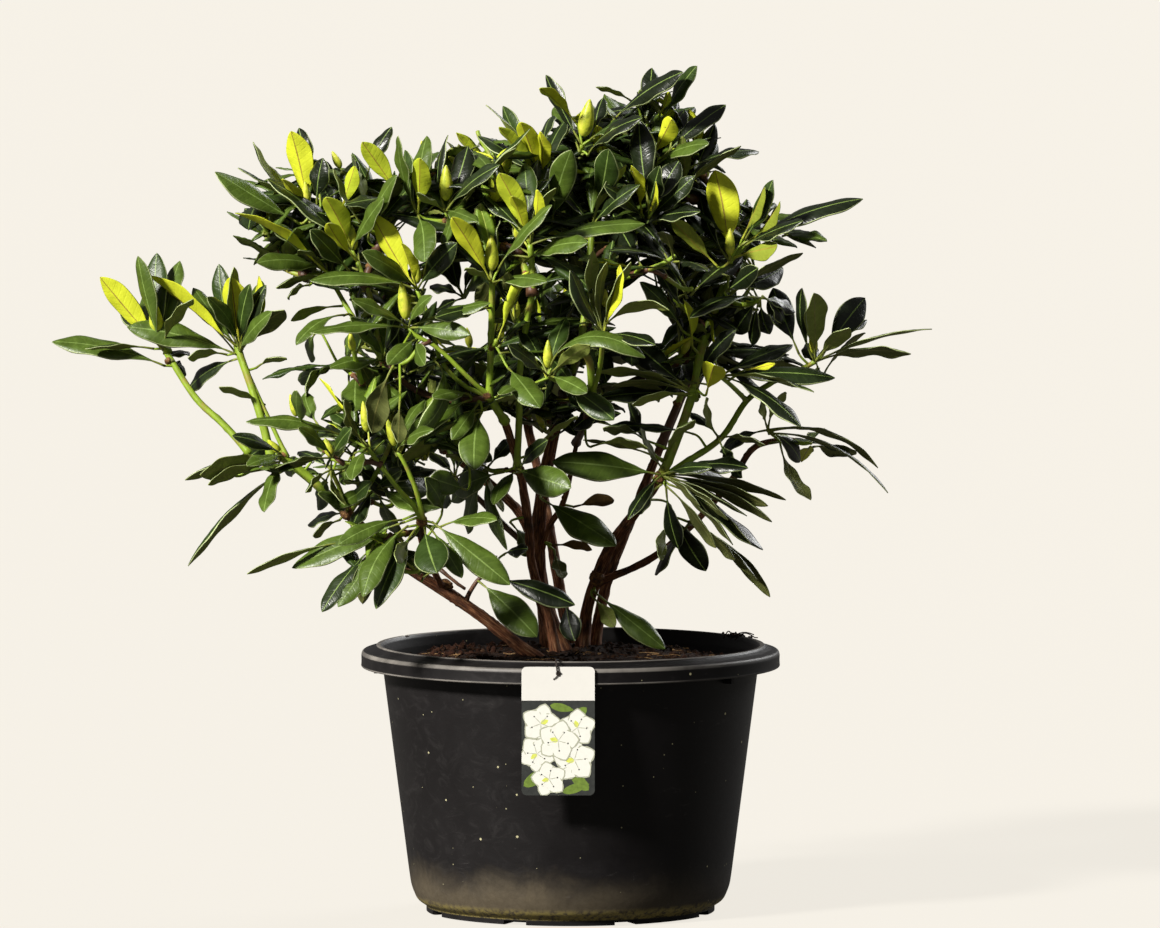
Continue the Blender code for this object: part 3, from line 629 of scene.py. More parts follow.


# ================================================================ whorls seen in front
# Each whorl: where the camera sees its foot and how deep it lies, its frame mass, and
# its leaves. A leaf: kind, then where its tip is seen and how wide it looks, and where
# its own foot is seen if that isn't the whorl's. Kinds: y young, its lit underside to
# the front; u older underside; m lit upper face, its lighter green partly painted light;
# d dark upper face; s a dark upper face in painted shade; e nearly edge-on; b a bud;
# k a dried scrap. `via` bends an edge-on leaf through a place.
WHORLS = {
    "far_left_a": ((163, 350, -92), "leaves_far_left", [
        ("b", 154, 301, 14, 157, 332), ("y", 100, 277, 23), ("d", 157, 253, 24),
        ("d", 180, 261, 18), ("d", 138, 256, 12), ("d", 52, 342, 20, 165, 366),
        ("e", 85, 349, 7, 155, 349), ("u", 193, 299, 13), ("d", 121, 312, 14),
        ("d", 167, 276, 14), ("d", 145, 286, 12), ("d", 178, 318, 12)]),
    "far_left_b": ((240, 352, -95), "leaves_far_left", [
        ("y", 231, 277, 27), ("y", 149, 276, 14, 237, 347), ("d", 127, 327, 23, 238, 355),
        ("d", 219, 264, 16), ("u", 234, 267, 14), ("d", 193, 288, 18),
        ("y", 259, 276, 13), ("d", 266, 285, 14), ("u", 284, 310, 24),
        ("d", 188, 391, 16, 240, 358), ("e", 188, 358, 8, 228, 355),
        ("e", 286, 358, 7, 256, 368), ("e", 219, 387, 7, 265, 405),
        ("d", 207, 297, 15), ("d", 250, 284, 14), ("m", 272, 312, 14),
        ("d", 262, 281, 13, 250, 340), ("b", 243, 318, 10, 241, 345)]),
    "upper_left_a": ((327, 273, -72), "leaves_upper_left", [
        ("d", 270, 226, 13), ("u", 300, 250, 10), ("m", 257, 263, 15),
        ("e", 276, 288, 7, 330, 277), ("e", 288, 297, 7, 310, 285),
        ("e", 291, 321, 6, 343, 306, (306, 309))]),
    "upper_left_b": ((358, 262, -92), "leaves_upper_left", [
        ("b", 350, 222, 10, 354, 248), ("y", 326, 197, 22, 352, 250),
        ("y", 328, 223, 16), ("d", 267, 179, 14), ("d", 310, 230, 20, 350, 272),
        ("m", 397, 175, 14, 368, 240), ("m", 384, 198, 14, 352, 250),
        ("s", 356, 160, 18, 345, 225), ("e", 333, 169, 6, 362, 225)]),
    "upper_left_c": ((309, 212, -60), "leaves_upper_left", [
        ("y", 291, 131, 25), ("s", 299, 128, 16, 318, 186),
        ("y", 283, 179, 12), ("b", 305, 181, 9, 307, 203), ("e", 253, 142, 7, 303, 200, (270, 175)),
        ("e", 238, 168, 7, 296, 206), ("d", 215, 172, 24, 300, 224), ("d", 262, 196, 14)]),
    "upper_left_d": ((402, 200, -82), "leaves_upper_left", [
        ("d", 345, 205, 12),
        ("d", 352, 185, 14), ("b", 400, 172, 9, 402, 192)]),
    "top_left_a": ((417, 290, -135), "leaves_mid_left", [
        ("y", 372, 214, 25), ("y", 402, 243, 12), ("m", 362, 252, 18),
        ("d", 457, 243, 22), ("m", 310, 281, 12),
        ("b", 415, 258, 10, 417, 282)]),
    "top_left_b": ((409, 328, -165), "leaves_mid_left", [
        ("b", 401, 282, 12.5, 406, 317), ("m", 310, 333, 12), ("d", 490, 303, 11),
        ("d", 470, 335, 18), ("m", 388, 365, 18, 415, 340), ("m", 425, 365, 12, 418, 342),
        ("d", 432, 296, 12), ("d", 352, 300, 12)]),
    "top_left_c": ((492, 283, -172), "leaves_top_left", [
        ("b", 491, 235, 14, 492, 268), ("y", 452, 217, 20), ("m", 547, 282, 12),
        ("m", 552, 205, 9, 498, 270), ("d", 498, 214, 12), ("d", 435, 318, 12, 490, 308),
        ("e", 466, 268, 7)]),
    "top_left_d": ((530, 245, -170), "leaves_top_left", [
        ("y", 499, 173, 21), ("y", 512, 196, 9, 527, 240), ("y", 538, 190, 12, 530, 236),
        ("d", 484, 195, 16, 527, 238), ("d", 525, 163, 20, 533, 235),
        ("m", 645, 224, 12), ("m", 588, 243, 14, 524, 262), ("e", 556, 188, 7)]),
    "top_left_e": ((446, 212, -130), "leaves_top_left", [
        ("b", 446, 165, 14, 446, 198), ("s", 448, 135, 12), ("s", 468, 147, 23),
        ("u", 420, 193, 12), ("m", 478, 222, 13), ("e", 530, 129, 8, 462, 207),
        ("d", 500, 165, 12), ("e", 516, 148, 6, 458, 207)]),
    "top_left_f": ((418, 215, -130), "leaves_top_left", [
        ("d", 398, 136, 10), ("d", 427, 136, 20), ("y", 420, 158, 20),
        ("d", 405, 150, 10), ("m", 425, 262, 26)]),
    "mid_left_a": ((368, 448, -200), "leaves_mid_left", [
        ("b", 363, 401, 10, 367, 430), ("u", 344, 400, 12), ("d", 330, 412, 14),
        ("m", 352, 480, 14)]),
    "mid_left_b": ((398, 452, -212), "leaves_mid_left", [
        ("b", 387, 418, 9, 394, 444), ("u", 372, 433, 26, 393, 366),
        ("u", 398, 443, 16, 400, 400), ("d", 425, 400, 14), ("m", 434, 430, 12)]),
    "mid_left_c": ((384, 362, -112), "leaves_mid_left", [
        ("m", 330, 368, 12), ("m", 355, 412, 28, 357, 373), ("d", 405, 300, 12),
        ("m", 350, 318, 12), ("d", 296, 345, 8, 345, 315, (318, 322)),
        ("d", 311, 362, 11, 318, 330), ("d", 298, 380, 13, 340, 365, (312, 366)),
        ("e", 306, 396, 8, 338, 368, (312, 376))]),
    "mid_left_d": ((332, 458, -190), "leaves_mid_left", [
        ("b", 325, 438, 10, 331, 456), ("d", 298, 428, 12), ("d", 352, 428, 12)]),
    "mid_left_e": ((300, 424, -186), "leaves_mid_left", [
        ("b", 290, 394, 8, 296, 415), ("m", 297, 391, 12, 305, 425),
        ("d", 305, 393, 16, 320, 428), ("m", 246, 422, 14, 345, 438),
        ("d", 305, 434, 10, 355, 442)]),
    "left_end": ((283, 456, -111), "leaves_lower_left", [
        ("u", 200, 475, 24), ("m", 247, 466, 13), ("u", 276, 468, 11, 335, 458),
        ("d", 285, 472, 18, 312, 460), ("e", 188, 566, 9, 285, 470, (240, 500)),
        ("e", 185, 480, 7), ("e", 208, 485, 7, 280, 462), ("m", 264, 512, 14),
        ("d", 232, 436, 14), ("b", 268, 440, 9, 279, 452)]),
    "left_inner": ((331, 470, -128), "leaves_mid_left", [
        ("d", 298, 452, 12), ("e", 306, 492, 8), ("m", 352, 430, 12), ("d", 318, 510, 14),
        ("d", 372, 470, 14), ("e", 345, 505, 7)]),
    "left_inner_low": ((376, 488, -100), "leaves_left_core", [
        ("d", 336, 508, 13), ("d", 352, 528, 12), ("d", 402, 470, 16), ("d", 428, 492, 18),
        ("m", 416, 512, 14), ("e", 344, 480, 7), ("d", 398, 535, 14), ("d", 436, 470, 14)]),
    "left_deep": ((394, 503, -70), "leaves_left_core", [
        ("d", 360, 470, 18), ("d", 378, 452, 16), ("d", 412, 460, 18), ("d", 426, 478, 16),
        ("d", 350, 498, 14), ("d", 440, 508, 16), ("d", 396, 448, 14)]),
    "left_deep_b": ((352, 455, -58), "leaves_mid_left", [
        ("d", 328, 425, 14), ("d", 372, 420, 16), ("d", 316, 446, 13), ("d", 394, 444, 16),
        ("d", 345, 485, 14), ("d", 374, 480, 15)]),
    "left_joint": ((347, 513, -102), "leaves_lower_left", [
        ("d", 308, 525, 10), ("e", 313, 536, 7, 340, 520), ("m", 318, 494, 12),
        ("d", 372, 482, 12)]),
    "low_front": ((422, 520, -190), "leaves_low_front", [
        ("m", 292, 568, 25, 405, 522), ("m", 363, 597, 25, 408, 526),
        ("m", 376, 609, 28, 415, 530), ("m", 437, 573, 38, 425, 528),
        ("m", 510, 585, 26, 432, 522), ("m", 497, 520, 13, 440, 527),
        ("u", 397, 562, 15, 415, 535), ("d", 322, 612, 13, 375, 545),
        ("d", 338, 607, 20, 385, 540), ("e", 247, 574, 6, 340, 543),
        ("d", 462, 578, 18, 430, 528), ("d", 338, 545, 16, 402, 520)]),
    "front_joint": ((488, 395, -150), "leaves_front", [
        ("m", 474, 470, 34, 482, 412), ("m", 433, 398, 12, 470, 395),
        ("m", 407, 440, 20, 470, 400), ("m", 533, 393, 8, 497, 397),
        ("m", 415, 435, 15, 434, 360, (446, 400)), ("m", 425, 478, 20, 442, 512),
        ("d", 430, 478, 30, 466, 490), ("d", 452, 440, 16, 478, 404)]),
    "front_low": ((520, 471, -80), "leaves_front", [
        ("m", 571, 488, 32, 516, 468), ("d", 455, 492, 26, 504, 472),
        ("m", 494, 505, 14), ("d", 548, 440, 14)]),
    "gap_left": ((464, 298, -60), "leaves_front", [
        ("s", 440, 262, 12), ("s", 479, 257, 11), ("s", 430, 286, 11), ("m", 494, 262, 10),
        ("s", 452, 250, 13), ("s", 436, 312, 10)]),
    "low_behind": ((455, 478, 50), "leaves_left_core", [
        ("s", 430, 452, 14), ("s", 472, 440, 14), ("s", 440, 508, 13), ("s", 418, 490, 13),
        ("s", 486, 462, 12), ("d", 470, 502, 12)]),
    "behind_low": ((487, 468, -36), "leaves_front", [
        ("d", 452, 502, 16), ("d", 468, 534, 14), ("d", 507, 550, 15), ("e", 446, 455, 8),
        ("e", 503, 512, 7), ("d", 528, 556, 13, 510, 522), ("d", 512, 440, 14)]),
    "front_a": ((548, 376, -190), "leaves_front", [
        ("m", 540, 408, 26, 508, 368), ("m", 587, 393, 18), ("m", 500, 395, 10, 530, 385),
        ("m", 645, 358, 15, 550, 368, (600, 333)), ("d", 520, 325, 16), ("d", 566, 318, 18),
        ("u", 590, 345, 16), ("d", 508, 345, 14), ("b", 548, 340, 10, 548, 366)]),
    "front_b": ((603, 335, -190), "leaves_front_right", [
        ("e", 593, 250, 8), ("e", 607, 262, 8), ("y", 620, 265, 10), ("e", 631, 262, 8),
        ("e", 669, 310, 8, 600, 332, (645, 300)), ("d", 614, 420, 24, 565, 385),
        ("d", 570, 270, 16), ("m", 655, 345, 12)]),
    "top_a": ((582, 145, -72), "leaves_top", [
        ("b", 590, 99, 16, 584, 134), ("s", 546, 75, 16), ("y", 540, 88, 10, 577, 124),
        ("d", 553, 116, 9, 545, 152), ("s", 570, 118, 10, 553, 156),
        ("s", 603, 98, 14, 594, 140), ("d", 623, 122, 7, 590, 140),
        ("m", 642, 118, 11, 588, 156)]),
    "top_b": ((592, 228, -110), "leaves_top", [
        ("m", 571, 150, 25, 552, 226), ("d", 609, 149, 27, 597, 206), ("e", 626, 165, 9),
        ("d", 640, 185, 14), ("d", 548, 176, 14)]),
    "top_c": ((645, 130, -60), "leaves_top", [
        ("m", 683, 72, 14, 613, 121), ("s", 652, 68, 18), ("d", 697, 66, 12, 662, 124),
        ("e", 596, 87, 6, 634, 103), ("y", 669, 92, 8, 660, 114),
        ("s", 640, 92, 14, 648, 124)]),
    "top_d": ((652, 168, -80), "leaves_top", [
        ("y", 672, 119, 19, 651, 160), ("s", 685, 110, 17, 670, 152),
        ("s", 726, 105, 17, 662, 158), ("m", 709, 144, 13, 654, 165), ("d", 759, 152, 11, 690, 168), ("e", 741, 146, 8, 680, 195),
        ("b", 652, 138, 9, 652, 160)]),
    "top_e": ((645, 222, -96), "leaves_top", [
        ("y", 632, 166, 11, 642, 214), ("y", 656, 182, 6),
        ("d", 695, 176, 16), ("d", 660, 166, 20), ("m", 700, 212, 12), ("d", 604, 186, 14)]),
    "top_f": ((541, 180, -92), "leaves_top", [
        ("y", 521, 122, 21), ("y", 541, 132, 14), ("y", 499, 127, 10), ("e", 486, 105, 7),
        ("d", 503, 106, 14), ("d", 478, 136, 13), ("d", 566, 120, 14)]),
    "upper_right_a": ((730, 262, -92), "leaves_upper_right", [
        ("y", 715, 170, 31), ("y", 765, 187, 12, 742, 240), ("d", 773, 180, 18, 745, 240),
        ("y", 780, 202, 10, 752, 240), ("m", 863, 199, 15, 740, 246), ("m", 803, 221, 12, 745, 246),
        ("d", 700, 190, 14), ("y", 777, 247, 19, 733, 258),
        ("e", 803, 253, 7, 730, 296), ("d", 783, 268, 22, 730, 292),
        ("m", 758, 268, 18, 726, 292), ("b", 730, 228, 10, 730, 254)]),
    "upper_right_b": ((760, 298, -80), "leaves_upper_right", [
        ("s", 735, 333, 20), ("s", 784, 322, 14, 762, 296), ("s", 752, 345, 15),
        ("s", 770, 334, 15), ("s", 795, 312, 11),
        ("m", 690, 318, 12)]),
    "far_right": ((815, 362, -50), "leaves_far_right", [
        ("u", 814, 293, 25), ("u", 849, 328, 18), ("s", 865, 298, 32, 822, 356), ("d", 867, 320, 10),
        ("e", 932, 329, 5), ("u", 911, 354, 9), ("d", 802, 288, 8), ("s", 773, 288, 26, 799, 354),
        ("b", 812, 326, 9, 814, 352)]),
    "mid_right_a": ((697, 390, -76), "leaves_front_right", [
        ("e", 597, 372, 7, 690, 392), ("e", 632, 405, 7, 690, 394),
        ("e", 612, 386, 6, 690, 392), ("d", 625, 335, 28, 690, 390),
        ("d", 640, 282, 18, 682, 330), ("y", 684, 300, 11, 692, 345),
        ("d", 655, 262, 13, 684, 310), ("d", 736, 330, 12)]),
    "mid_right_b": ((720, 376, -84), "leaves_far_right", [
        ("d", 835, 378, 18), ("d", 793, 345, 14), ("d", 785, 356, 11), ("u", 814, 392, 12),
        ("y", 775, 364, 7, 745, 370), ("m", 801, 427, 13)]),
    "low_right_a": ((768, 430, 6), "leaves_right_low", [
        ("e", 853, 443, 5, 768, 430, (812, 428)), ("e", 878, 468, 5, 768, 432, (830, 434)),
        ("e", 888, 493, 6, 768, 434, (835, 444)), ("d", 800, 462, 16),
        ("u", 811, 500, 12, 780, 442), ("u", 763, 395, 9), ("u", 785, 392, 9),
        ("d", 720, 452, 12)]),
    "fork_right": ((662, 475, -56), "leaves_centre_low", [
        ("m", 552, 462, 30), ("e", 768, 506, 9), ("e", 747, 516, 7), ("d", 735, 485, 14),
        ("e", 728, 520, 8), ("e", 733, 545, 8), ("d", 763, 550, 14), ("d", 628, 400, 12, 655, 455),
        ("u", 603, 428, 10, 645, 440), ("u", 695, 420, 10, 664, 460),
        ("u", 648, 448, 9, 590, 447), ("d", 628, 520, 14),
        ("e", 786, 500, 6), ("e", 772, 522, 7, 668, 480), ("e", 752, 545, 7, 668, 484),
        ("e", 716, 548, 8, 666, 486), ("e", 700, 506, 8), ("d", 712, 468, 11),
        ("e", 640, 428, 7, 664, 470), ("d", 748, 468, 11, 668, 474)]),
    "hang_right": ((690, 522, -4), "leaves_low_right", [
        ("s", 706, 571, 24, 670, 505), ("u", 660, 560, 12, 672, 518), ("e", 735, 560, 7),
        ("e", 757, 580, 7), ("e", 770, 597, 7), ("d", 655, 575, 12)]),
    "twig_right": ((719, 438, -38), "leaves_centre_low", [
        ("u", 706, 398, 9), ("e", 765, 445, 8), ("d", 742, 478, 12), ("d", 688, 412, 12)]),
}
# Single leaves close to the stems: kind, tip, width, foot, depths of foot and tip.
LOOSE = [
    ("s", 573, 429, 18, 616, 398, -72, -40, "leaves_centre_low"),
    ("s", 606, 428, 8, 694, 434, -44, -70, "leaves_centre_low"),
    ("e", 583, 440, 6, 654, 456, -44, -60, "leaves_centre_low"),
    ("s", 600, 398, 13, 688, 396, -58, -90, "leaves_centre_low"),
    ("y", 235, 213, 10, 325, 271, -92, -128, "leaves_upper_left"),
    ("s", 392, 127, 14, 366, 180, -70, -60, "leaves_upper_left"),
    ("y", 362, 142, 19, 402, 198, -92, -112, "leaves_upper_left"),
    ("s", 323, 158, 22, 317, 206, -70, -82, "leaves_upper_left"),
    ("y", 355, 166, 15, 340, 214, -88, -106, "leaves_upper_left"),
    ("y", 671, 219, 15, 719, 268, -104, -130, "leaves_upper_right"),
    ("y", 714, 365, 25, 706, 395, -98, -146, "leaves_front_right"),
    ("s", 639, 120, 27, 649, 208, -124, -112, "leaves_top"),
    ("s", 679, 161, 22, 652, 212, -132, -118, "leaves_top"),
    ("d", 537, 637, 33, 477, 580, -62, -112, "leaves_low_spray"),
    ("s", 575, 605, 24, 490, 577, -60, -86, "leaves_low_spray"),
    ("d", 575, 641, 22, 566, 600, 14, -6, "leaves_low_spray"),
    ("u", 615, 627, 14, 592, 596, 30, 14, "leaves_low_spray"),
    ("m", 665, 649, 22, 594, 592, 34, 10, "leaves_low_spray"),
    ("m", 616, 546, 33, 543, 500, 10, -50, "leaves_centre_low"),
    ("k", 614, 500, 13, 573, 507, 24, -10, "leaves_centre_low"),
    ("k", 592, 550, 10, 552, 545, 26, 10, "leaves_low_spray"),
    ("u", 563, 579, 15, 554, 549, 30, 16, "leaves_low_spray"),
    ("e", 578, 416, 5, 530, 455, -80, -110, "leaves_centre_low"),
    ("s", 188, 352, 11, 166, 360, -92, -64, "leaves_far_left"),
    ("s", 186, 374, 9, 171, 360, -92, -70, "leaves_far_left"),
    ("s", 528, 549, 12, 503, 555, -40, -60, "leaves_low_spray"),
    ("s", 634, 514, 15, 662, 484, -50, -30, "leaves_centre_low"),
    ("s", 679, 549, 17, 666, 486, -54, -24, "leaves_centre_low"),
]
AWAY = {(157, 253), (145, 286), (167, 276), (121, 312)}   # tips that point back
DIM = {(765, 187), (780, 202), (777, 247), (671, 219)}   # young ones of a duller green
TRUE_LENGTH = {"y": 88.0, "s": 104.0, "d": 106.0, "m": 110.0, "u": 104.0, "e": 112.0, "k": 42.0}


def set_leaf(kind, px, py, width, foot, depth, rng, via=None, tip_depth=None):
    """A leaf from where its foot and tip are seen, turned so that it looks that wide."""
    base = spot(foot[0], foot[1], depth)
    flat = spot(px, py, depth)
    apart = float(np.linalg.norm(flat - base))
    if tip_depth is None:
        want = TRUE_LENGTH[kind] * rng.uniform(0.94, 1.06)
        reach = 0.8 * math.sqrt(max(0.0, want * want - apart * apart))
        reach = min(reach, 70.0)
        towards = {"y": -0.9, "m": -1.0, "d": 0.75, "u": -0.8, "e": -0.5, "k": 0.4,
                   "s": 0.5}[kind]
        if kind == "d" and rng.random() < 0.45 and (px, py) not in AWAY:
            towards = -0.7
        tip_depth = depth + reach * towards
        tip_depth = max(tip_depth, -318.0)
    tip = spot(px, py, tip_depth)
    way = unit(tip - base)
    length = float(np.linalg.norm(tip - base))
    true = float(np.clip(width / 0.9, 0.25 * max(length, 70), (0.45 if width > 34 else 0.36) * max(length, 70)))
    if kind == "e" and width <= 6:
        true *= 0.62
    if kind == "k":
        true = width * 1.2
    elif kind == "y" and apart < 40:
        true = width * 1.03
    share = float(np.clip(width / true, 0.1, 0.985))
    to_camera = unit(EYE - base)
    facing = to_camera if kind in "dms" else -to_camera
    facing = unit(facing - way * (facing @ way))
    side = np.cross(way, facing)
    turn = math.acos(share)
    light = -unit((-0.68, -0.64, 0.35)) if kind == "y" else unit((-0.45, -0.25, 0.85))
    options = [math.cos(turn) * facing + sign * math.sin(turn) * side for sign in (1, -1)]
    up = max(options, key=lambda n: n @ light + rng.normal(0, 0.05))
    bend = None
    if via is not None:
        mid = spot(via[0], via[1], (depth + tip_depth) / 2)
        off = mid - base - way * ((mid - base) @ way)
        sag = float(np.linalg.norm(off))
        bend = min(2.2, 4 * math.atan(2 * sag / length))
        up = unit(off) * math.sin(math.acos(share)) + facing * share
        up = unit(up)
    looks = dealt(kind, rng, base[0], base[2])
    if (px, py) in DIM:
        looks = (looks[0], "under_fresh_c")
    return leaf(base, tip, up, true, "u" if kind == "e" else kind, rng, bend=bend,
                looks=looks, wave=0.7 if kind == "e" else 1.0)


def whorl_leaves(centre, axis, rng, count, size, ages, start=0.0, droop=0.14):
    """Leaves round a shoot's end, young and upright inside, older and spreading outside."""
    axis = unit(axis)
    side = unit(np.cross(axis, (0.3, 1.0, 0.1)))
    other = np.cross(axis, side)
    made = []
    for k in range(count):
        share = k / max(1, count - 1)
        turn = start + k * 2.39996 + rng.normal(0, 0.16)
        lean = math.radians(22 + 78 * share**0.85 + rng.normal(0, 7))
        radial = math.cos(turn) * side + math.sin(turn) * other
        way = math.cos(lean) * axis + math.sin(lean) * radial
        way = unit(way - Z_AXIS * droop * (0.3 + share) * (1 + 0.4 * rng.normal()))
        kind = ages(share, rng)
        length = size * (0.70 + 0.42 * share**0.7) * rng.uniform(0.9, 1.1)
        foot = centre - axis * 16 * share + radial * 2.2
        up = 0.65 * (axis - way * (axis @ way)) + 0.35 * (Z_AXIS - way * way[2])
        width = length * rng.uniform(0.205, 0.265)
        made.append(leaf(foot, foot + way * length, up, width, kind, rng))
    return made


def usual_ages(share, rng):
    if share < 0.28:
        return "y" if rng.random() < 0.7 else "m"
    if share < 0.6:
        return rng.choice(["m", "d", "u"], p=[0.5, 0.35, 0.15])
    return rng.choice(["d", "m", "u"], p=[0.72, 0.2, 0.08])


def shaded_ages(share, rng):
    return rng.choice(["d", "m", "u"], p=[0.82, 0.08, 0.10])


LEAVES = {"fine": {name: [] for name in MASSES}, "plain": {name: [] for name in MASSES}}
BUDS = []      # foot, tip, width
CENTRES = []   # centre, axis, mass, whether it is listed
rng = np.random.default_rng(11)
for _key, (_at, _mass, _rows) in WHORLS.items():
    centre = spot(*_at)
    lean = []
    for row in _rows:
        foot = (row[4], row[5]) if len(row) > 5 else _at[:2]
        if row[0] == "b":
            depth = _at[2]
            BUDS.append((spot(foot[0], foot[1], depth), spot(row[1], row[2], depth - 4), row[3]))
            lean.append(4 * unit(BUDS[-1][1] - BUDS[-1][0]))
            continue
        via = row[6] if len(row) > 6 else None
        made = set_leaf(row[0], row[1], row[2], row[3], foot, _at[2], rng, via)
        LEAVES["fine"][_mass].append(made)
        if row[0] in "ydmu" and row[2] < _at[1] - 20:
            lean.append(unit(made["tip"] - made["base"]))
    axis = unit(np.sum(lean, 0) + 0.8 * Z_AXIS) if lean else Z_AXIS
    CENTRES.append((centre, axis, _mass, True))
for kind, px, py, width, bx, by, near, far, _mass in LOOSE:
    LEAVES["fine"][_mass].append(
        set_leaf(kind, px, py, width, (bx, by), near, rng, tip_depth=far))

# Shoots seen in front: where each is seen with its depth, its radii, green or brown.
SHOOTS = [
    ([(536, 552, 44), (508, 529, 54), (480, 500, 56), (455, 478, 50)], 3.6, 2.8, "brown"),
    ([(347, 513, -100), (341, 492, -114), (331, 470, -128)], 2.6, 2.1, "green"),
    ([(347, 513, -100), (360, 500, -100), (376, 488, -100)], 2.6, 2.1, "green"),
    ([(286, 455, -112), (262, 404, -104), (243, 362, -98)], 2.3, 1.9, "green"),
    ([(350, 512, -100), (378, 470, -118), (392, 430, -120), (384, 362, -112)], 2.6, 2.3,
     "green"),
    ([(504.5, 420.3, -120), (496, 408, -138), (488, 395, -150)], 4.2, 4.0, "green"),
    ([(488, 395, -150), (472, 381, -156), (440, 350, -162), (415, 335, -166),
      (409, 328, -165)], 2.5, 2.1, "green"),
    ([(489, 397, -149), (491, 340, -160), (492, 283, -172)], 3.5, 3.0, "green"),
    ([(488, 396, -149), (462, 384, -146), (440, 358, -140), (430, 320, -136),
      (417, 290, -135)], 2.3, 2.0, "green"),
    ([(488, 397, -148), (450, 400, -138), (412, 388, -124), (384, 362, -112)], 3.4, 3.0,
     "brown"),
    ([(384, 362, -112), (377, 335, -106), (371, 300, -98), (358, 262, -92)], 2.9, 2.4,
     "green"),
    ([(384, 362, -112), (356, 322, -92), (327, 273, -72)], 2.7, 2.2, "green"),
    ([(517, 466, -78), (519, 420, -104), (520, 368, -132), (527, 320, -154),
      (533, 285, -168), (530, 245, -170)], 3.6, 3.0, "green"),
    ([(421.5, 533.8, -168), (420, 526, -182), (422, 520, -190)], 3.4, 3.4, "brown"),
    ([(422, 520, -190), (413, 505, -194), (396, 486, -198), (372, 454, -200),
      (368, 448, -200)], 2.6, 2.2, "green"),
    ([(423, 519, -191), (416, 490, -202), (406, 466, -210), (398, 452, -212)], 2.5, 2.1,
     "green"),
    ([(167.5, 350.5, -84), (164, 349, -90), (163, 345, -92)], 3.0, 2.7, "green"),
    ([(239.5, 346.5, -92), (240, 350, -95), (240, 344, -95)], 3.4, 2.9, "green"),
    ([(728.5, 272.8, -36), (729, 268, -66), (730, 262, -92)], 3.8, 3.0, "green"),
    ([(774.5, 380.4, -8), (792, 374, -30), (815, 362, -50)], 2.8, 2.4, "green"),
    ([(784.5, 438, 46), (776, 436, 24), (768, 430, 6)], 3.0, 2.4, "green"),
    ([(691, 524, 36), (690, 523, 14), (690, 522, -4)], 2.4, 2.2, "brown"),
    ([(746, 400, -16), (734, 388, -56), (720, 376, -84)], 2.6, 2.2, "green"),
    ([(696, 398, -54), (697, 394, -64), (697, 390, -76)], 2.8, 2.4, "green"),
    ([(592, 395, -100), (590, 365, -116), (582, 340, -130), (588, 290, -124),
      (592, 228, -110)], 4.0, 3.2, "green"),
    ([(592, 395, -100), (570, 388, -150), (548, 376, -190)], 2.8, 2.3, "green"),
    ([(592, 395, -100), (600, 366, -150), (603, 335, -190)], 2.8, 2.3, "green"),
    ([(576.5, 442, 20), (584, 424, -30), (592, 395, -100)], 4.0, 4.0, "brown"),
    ([(719, 438, -32), (719, 438, -36), (719, 437, -38)], 2.2, 2.0, "brown"),
    ([(442, 571, -70), (454, 581, -72), (465, 589, -74)], 1.8, 1.6, "brown"),
    ([(465, 603, -56), (470, 592, -60), (480, 578, -62), (490, 577, -60)], 2.6, 2.0,
     "brown"),
]

# How deep the listed leaves lie at each place of the frame, so that what grows
# behind them stays behind.
FRONT = np.full(ALLOWED.shape, 1e4)
for _rows in LEAVES["fine"].values():
    if not _rows:
        continue
    net = leaf_points(stack(_rows))
    flat = np.floor(seen(net) / CELL).astype(int)
    depth = net[..., 1]
    for dx in (0, 1):
        for dy in (0, 1):
            np.minimum.at(FRONT, (np.clip(flat[..., 1] + dy, 0, FRONT.shape[0] - 1),
                                  np.clip(flat[..., 0] + dx, 0, FRONT.shape[1] - 1)), depth)


for _path, _r0, _r1, _kind in SHOOTS:
    for _point in catmull([spot(*p) for p in _path], 3):
        _x, _y = (seen(_point) / CELL).astype(int)
        _patch = FRONT[_y:_y + 2, _x - 1:_x + 2]
        _patch[:] = np.minimum(_patch, _point[1])
for _name in GREEN + ("stem_right", "stem_front"):
    for _point in limb_path(_name, 3):
        _x, _y = (seen(_point) / CELL).astype(int)
        _patch = FRONT[_y:_y + 2, _x - 1:_x + 1]
        _patch[:] = np.minimum(_patch, _point[1])
for _foot, _tip, _width in BUDS:
    for _share in np.linspace(0, 1, 8):
        _point = _foot + (_tip - _foot) * _share
        _x, _y = (seen(_point) / CELL).astype(int)
        _patch = FRONT[_y:_y + 2, _x - 1:_x + 2]
        _patch[:] = np.minimum(_patch, _point[1])
FRONT[FRONT > 9e3] = -1e4


def behind_share(points):
    flat = np.floor(seen(points) / CELL).astype(int)
    x = np.clip(flat[..., 0], 0, FRONT.shape[1] - 1)
    y = np.clip(flat[..., 1], 0, FRONT.shape[0] - 1)
    return (points[..., 1] > FRONT[y, x] + 3).mean(axis=(1, 2))


LOW_LIMIT = np.array(CAD_BOX[0]) / MM + (2, 2, 0)
HIGH_LIMIT = np.array(CAD_BOX[1]) / MM - (2, 2, 2)


# where the photograph stays clear of leaves that grow by rule
CLEAR = [(225, 485, 300, 555), (292, 552, 352, 606), (838, 362, 908, 428),
         (60, 288, 150, 350), (802, 450, 850, 494)]


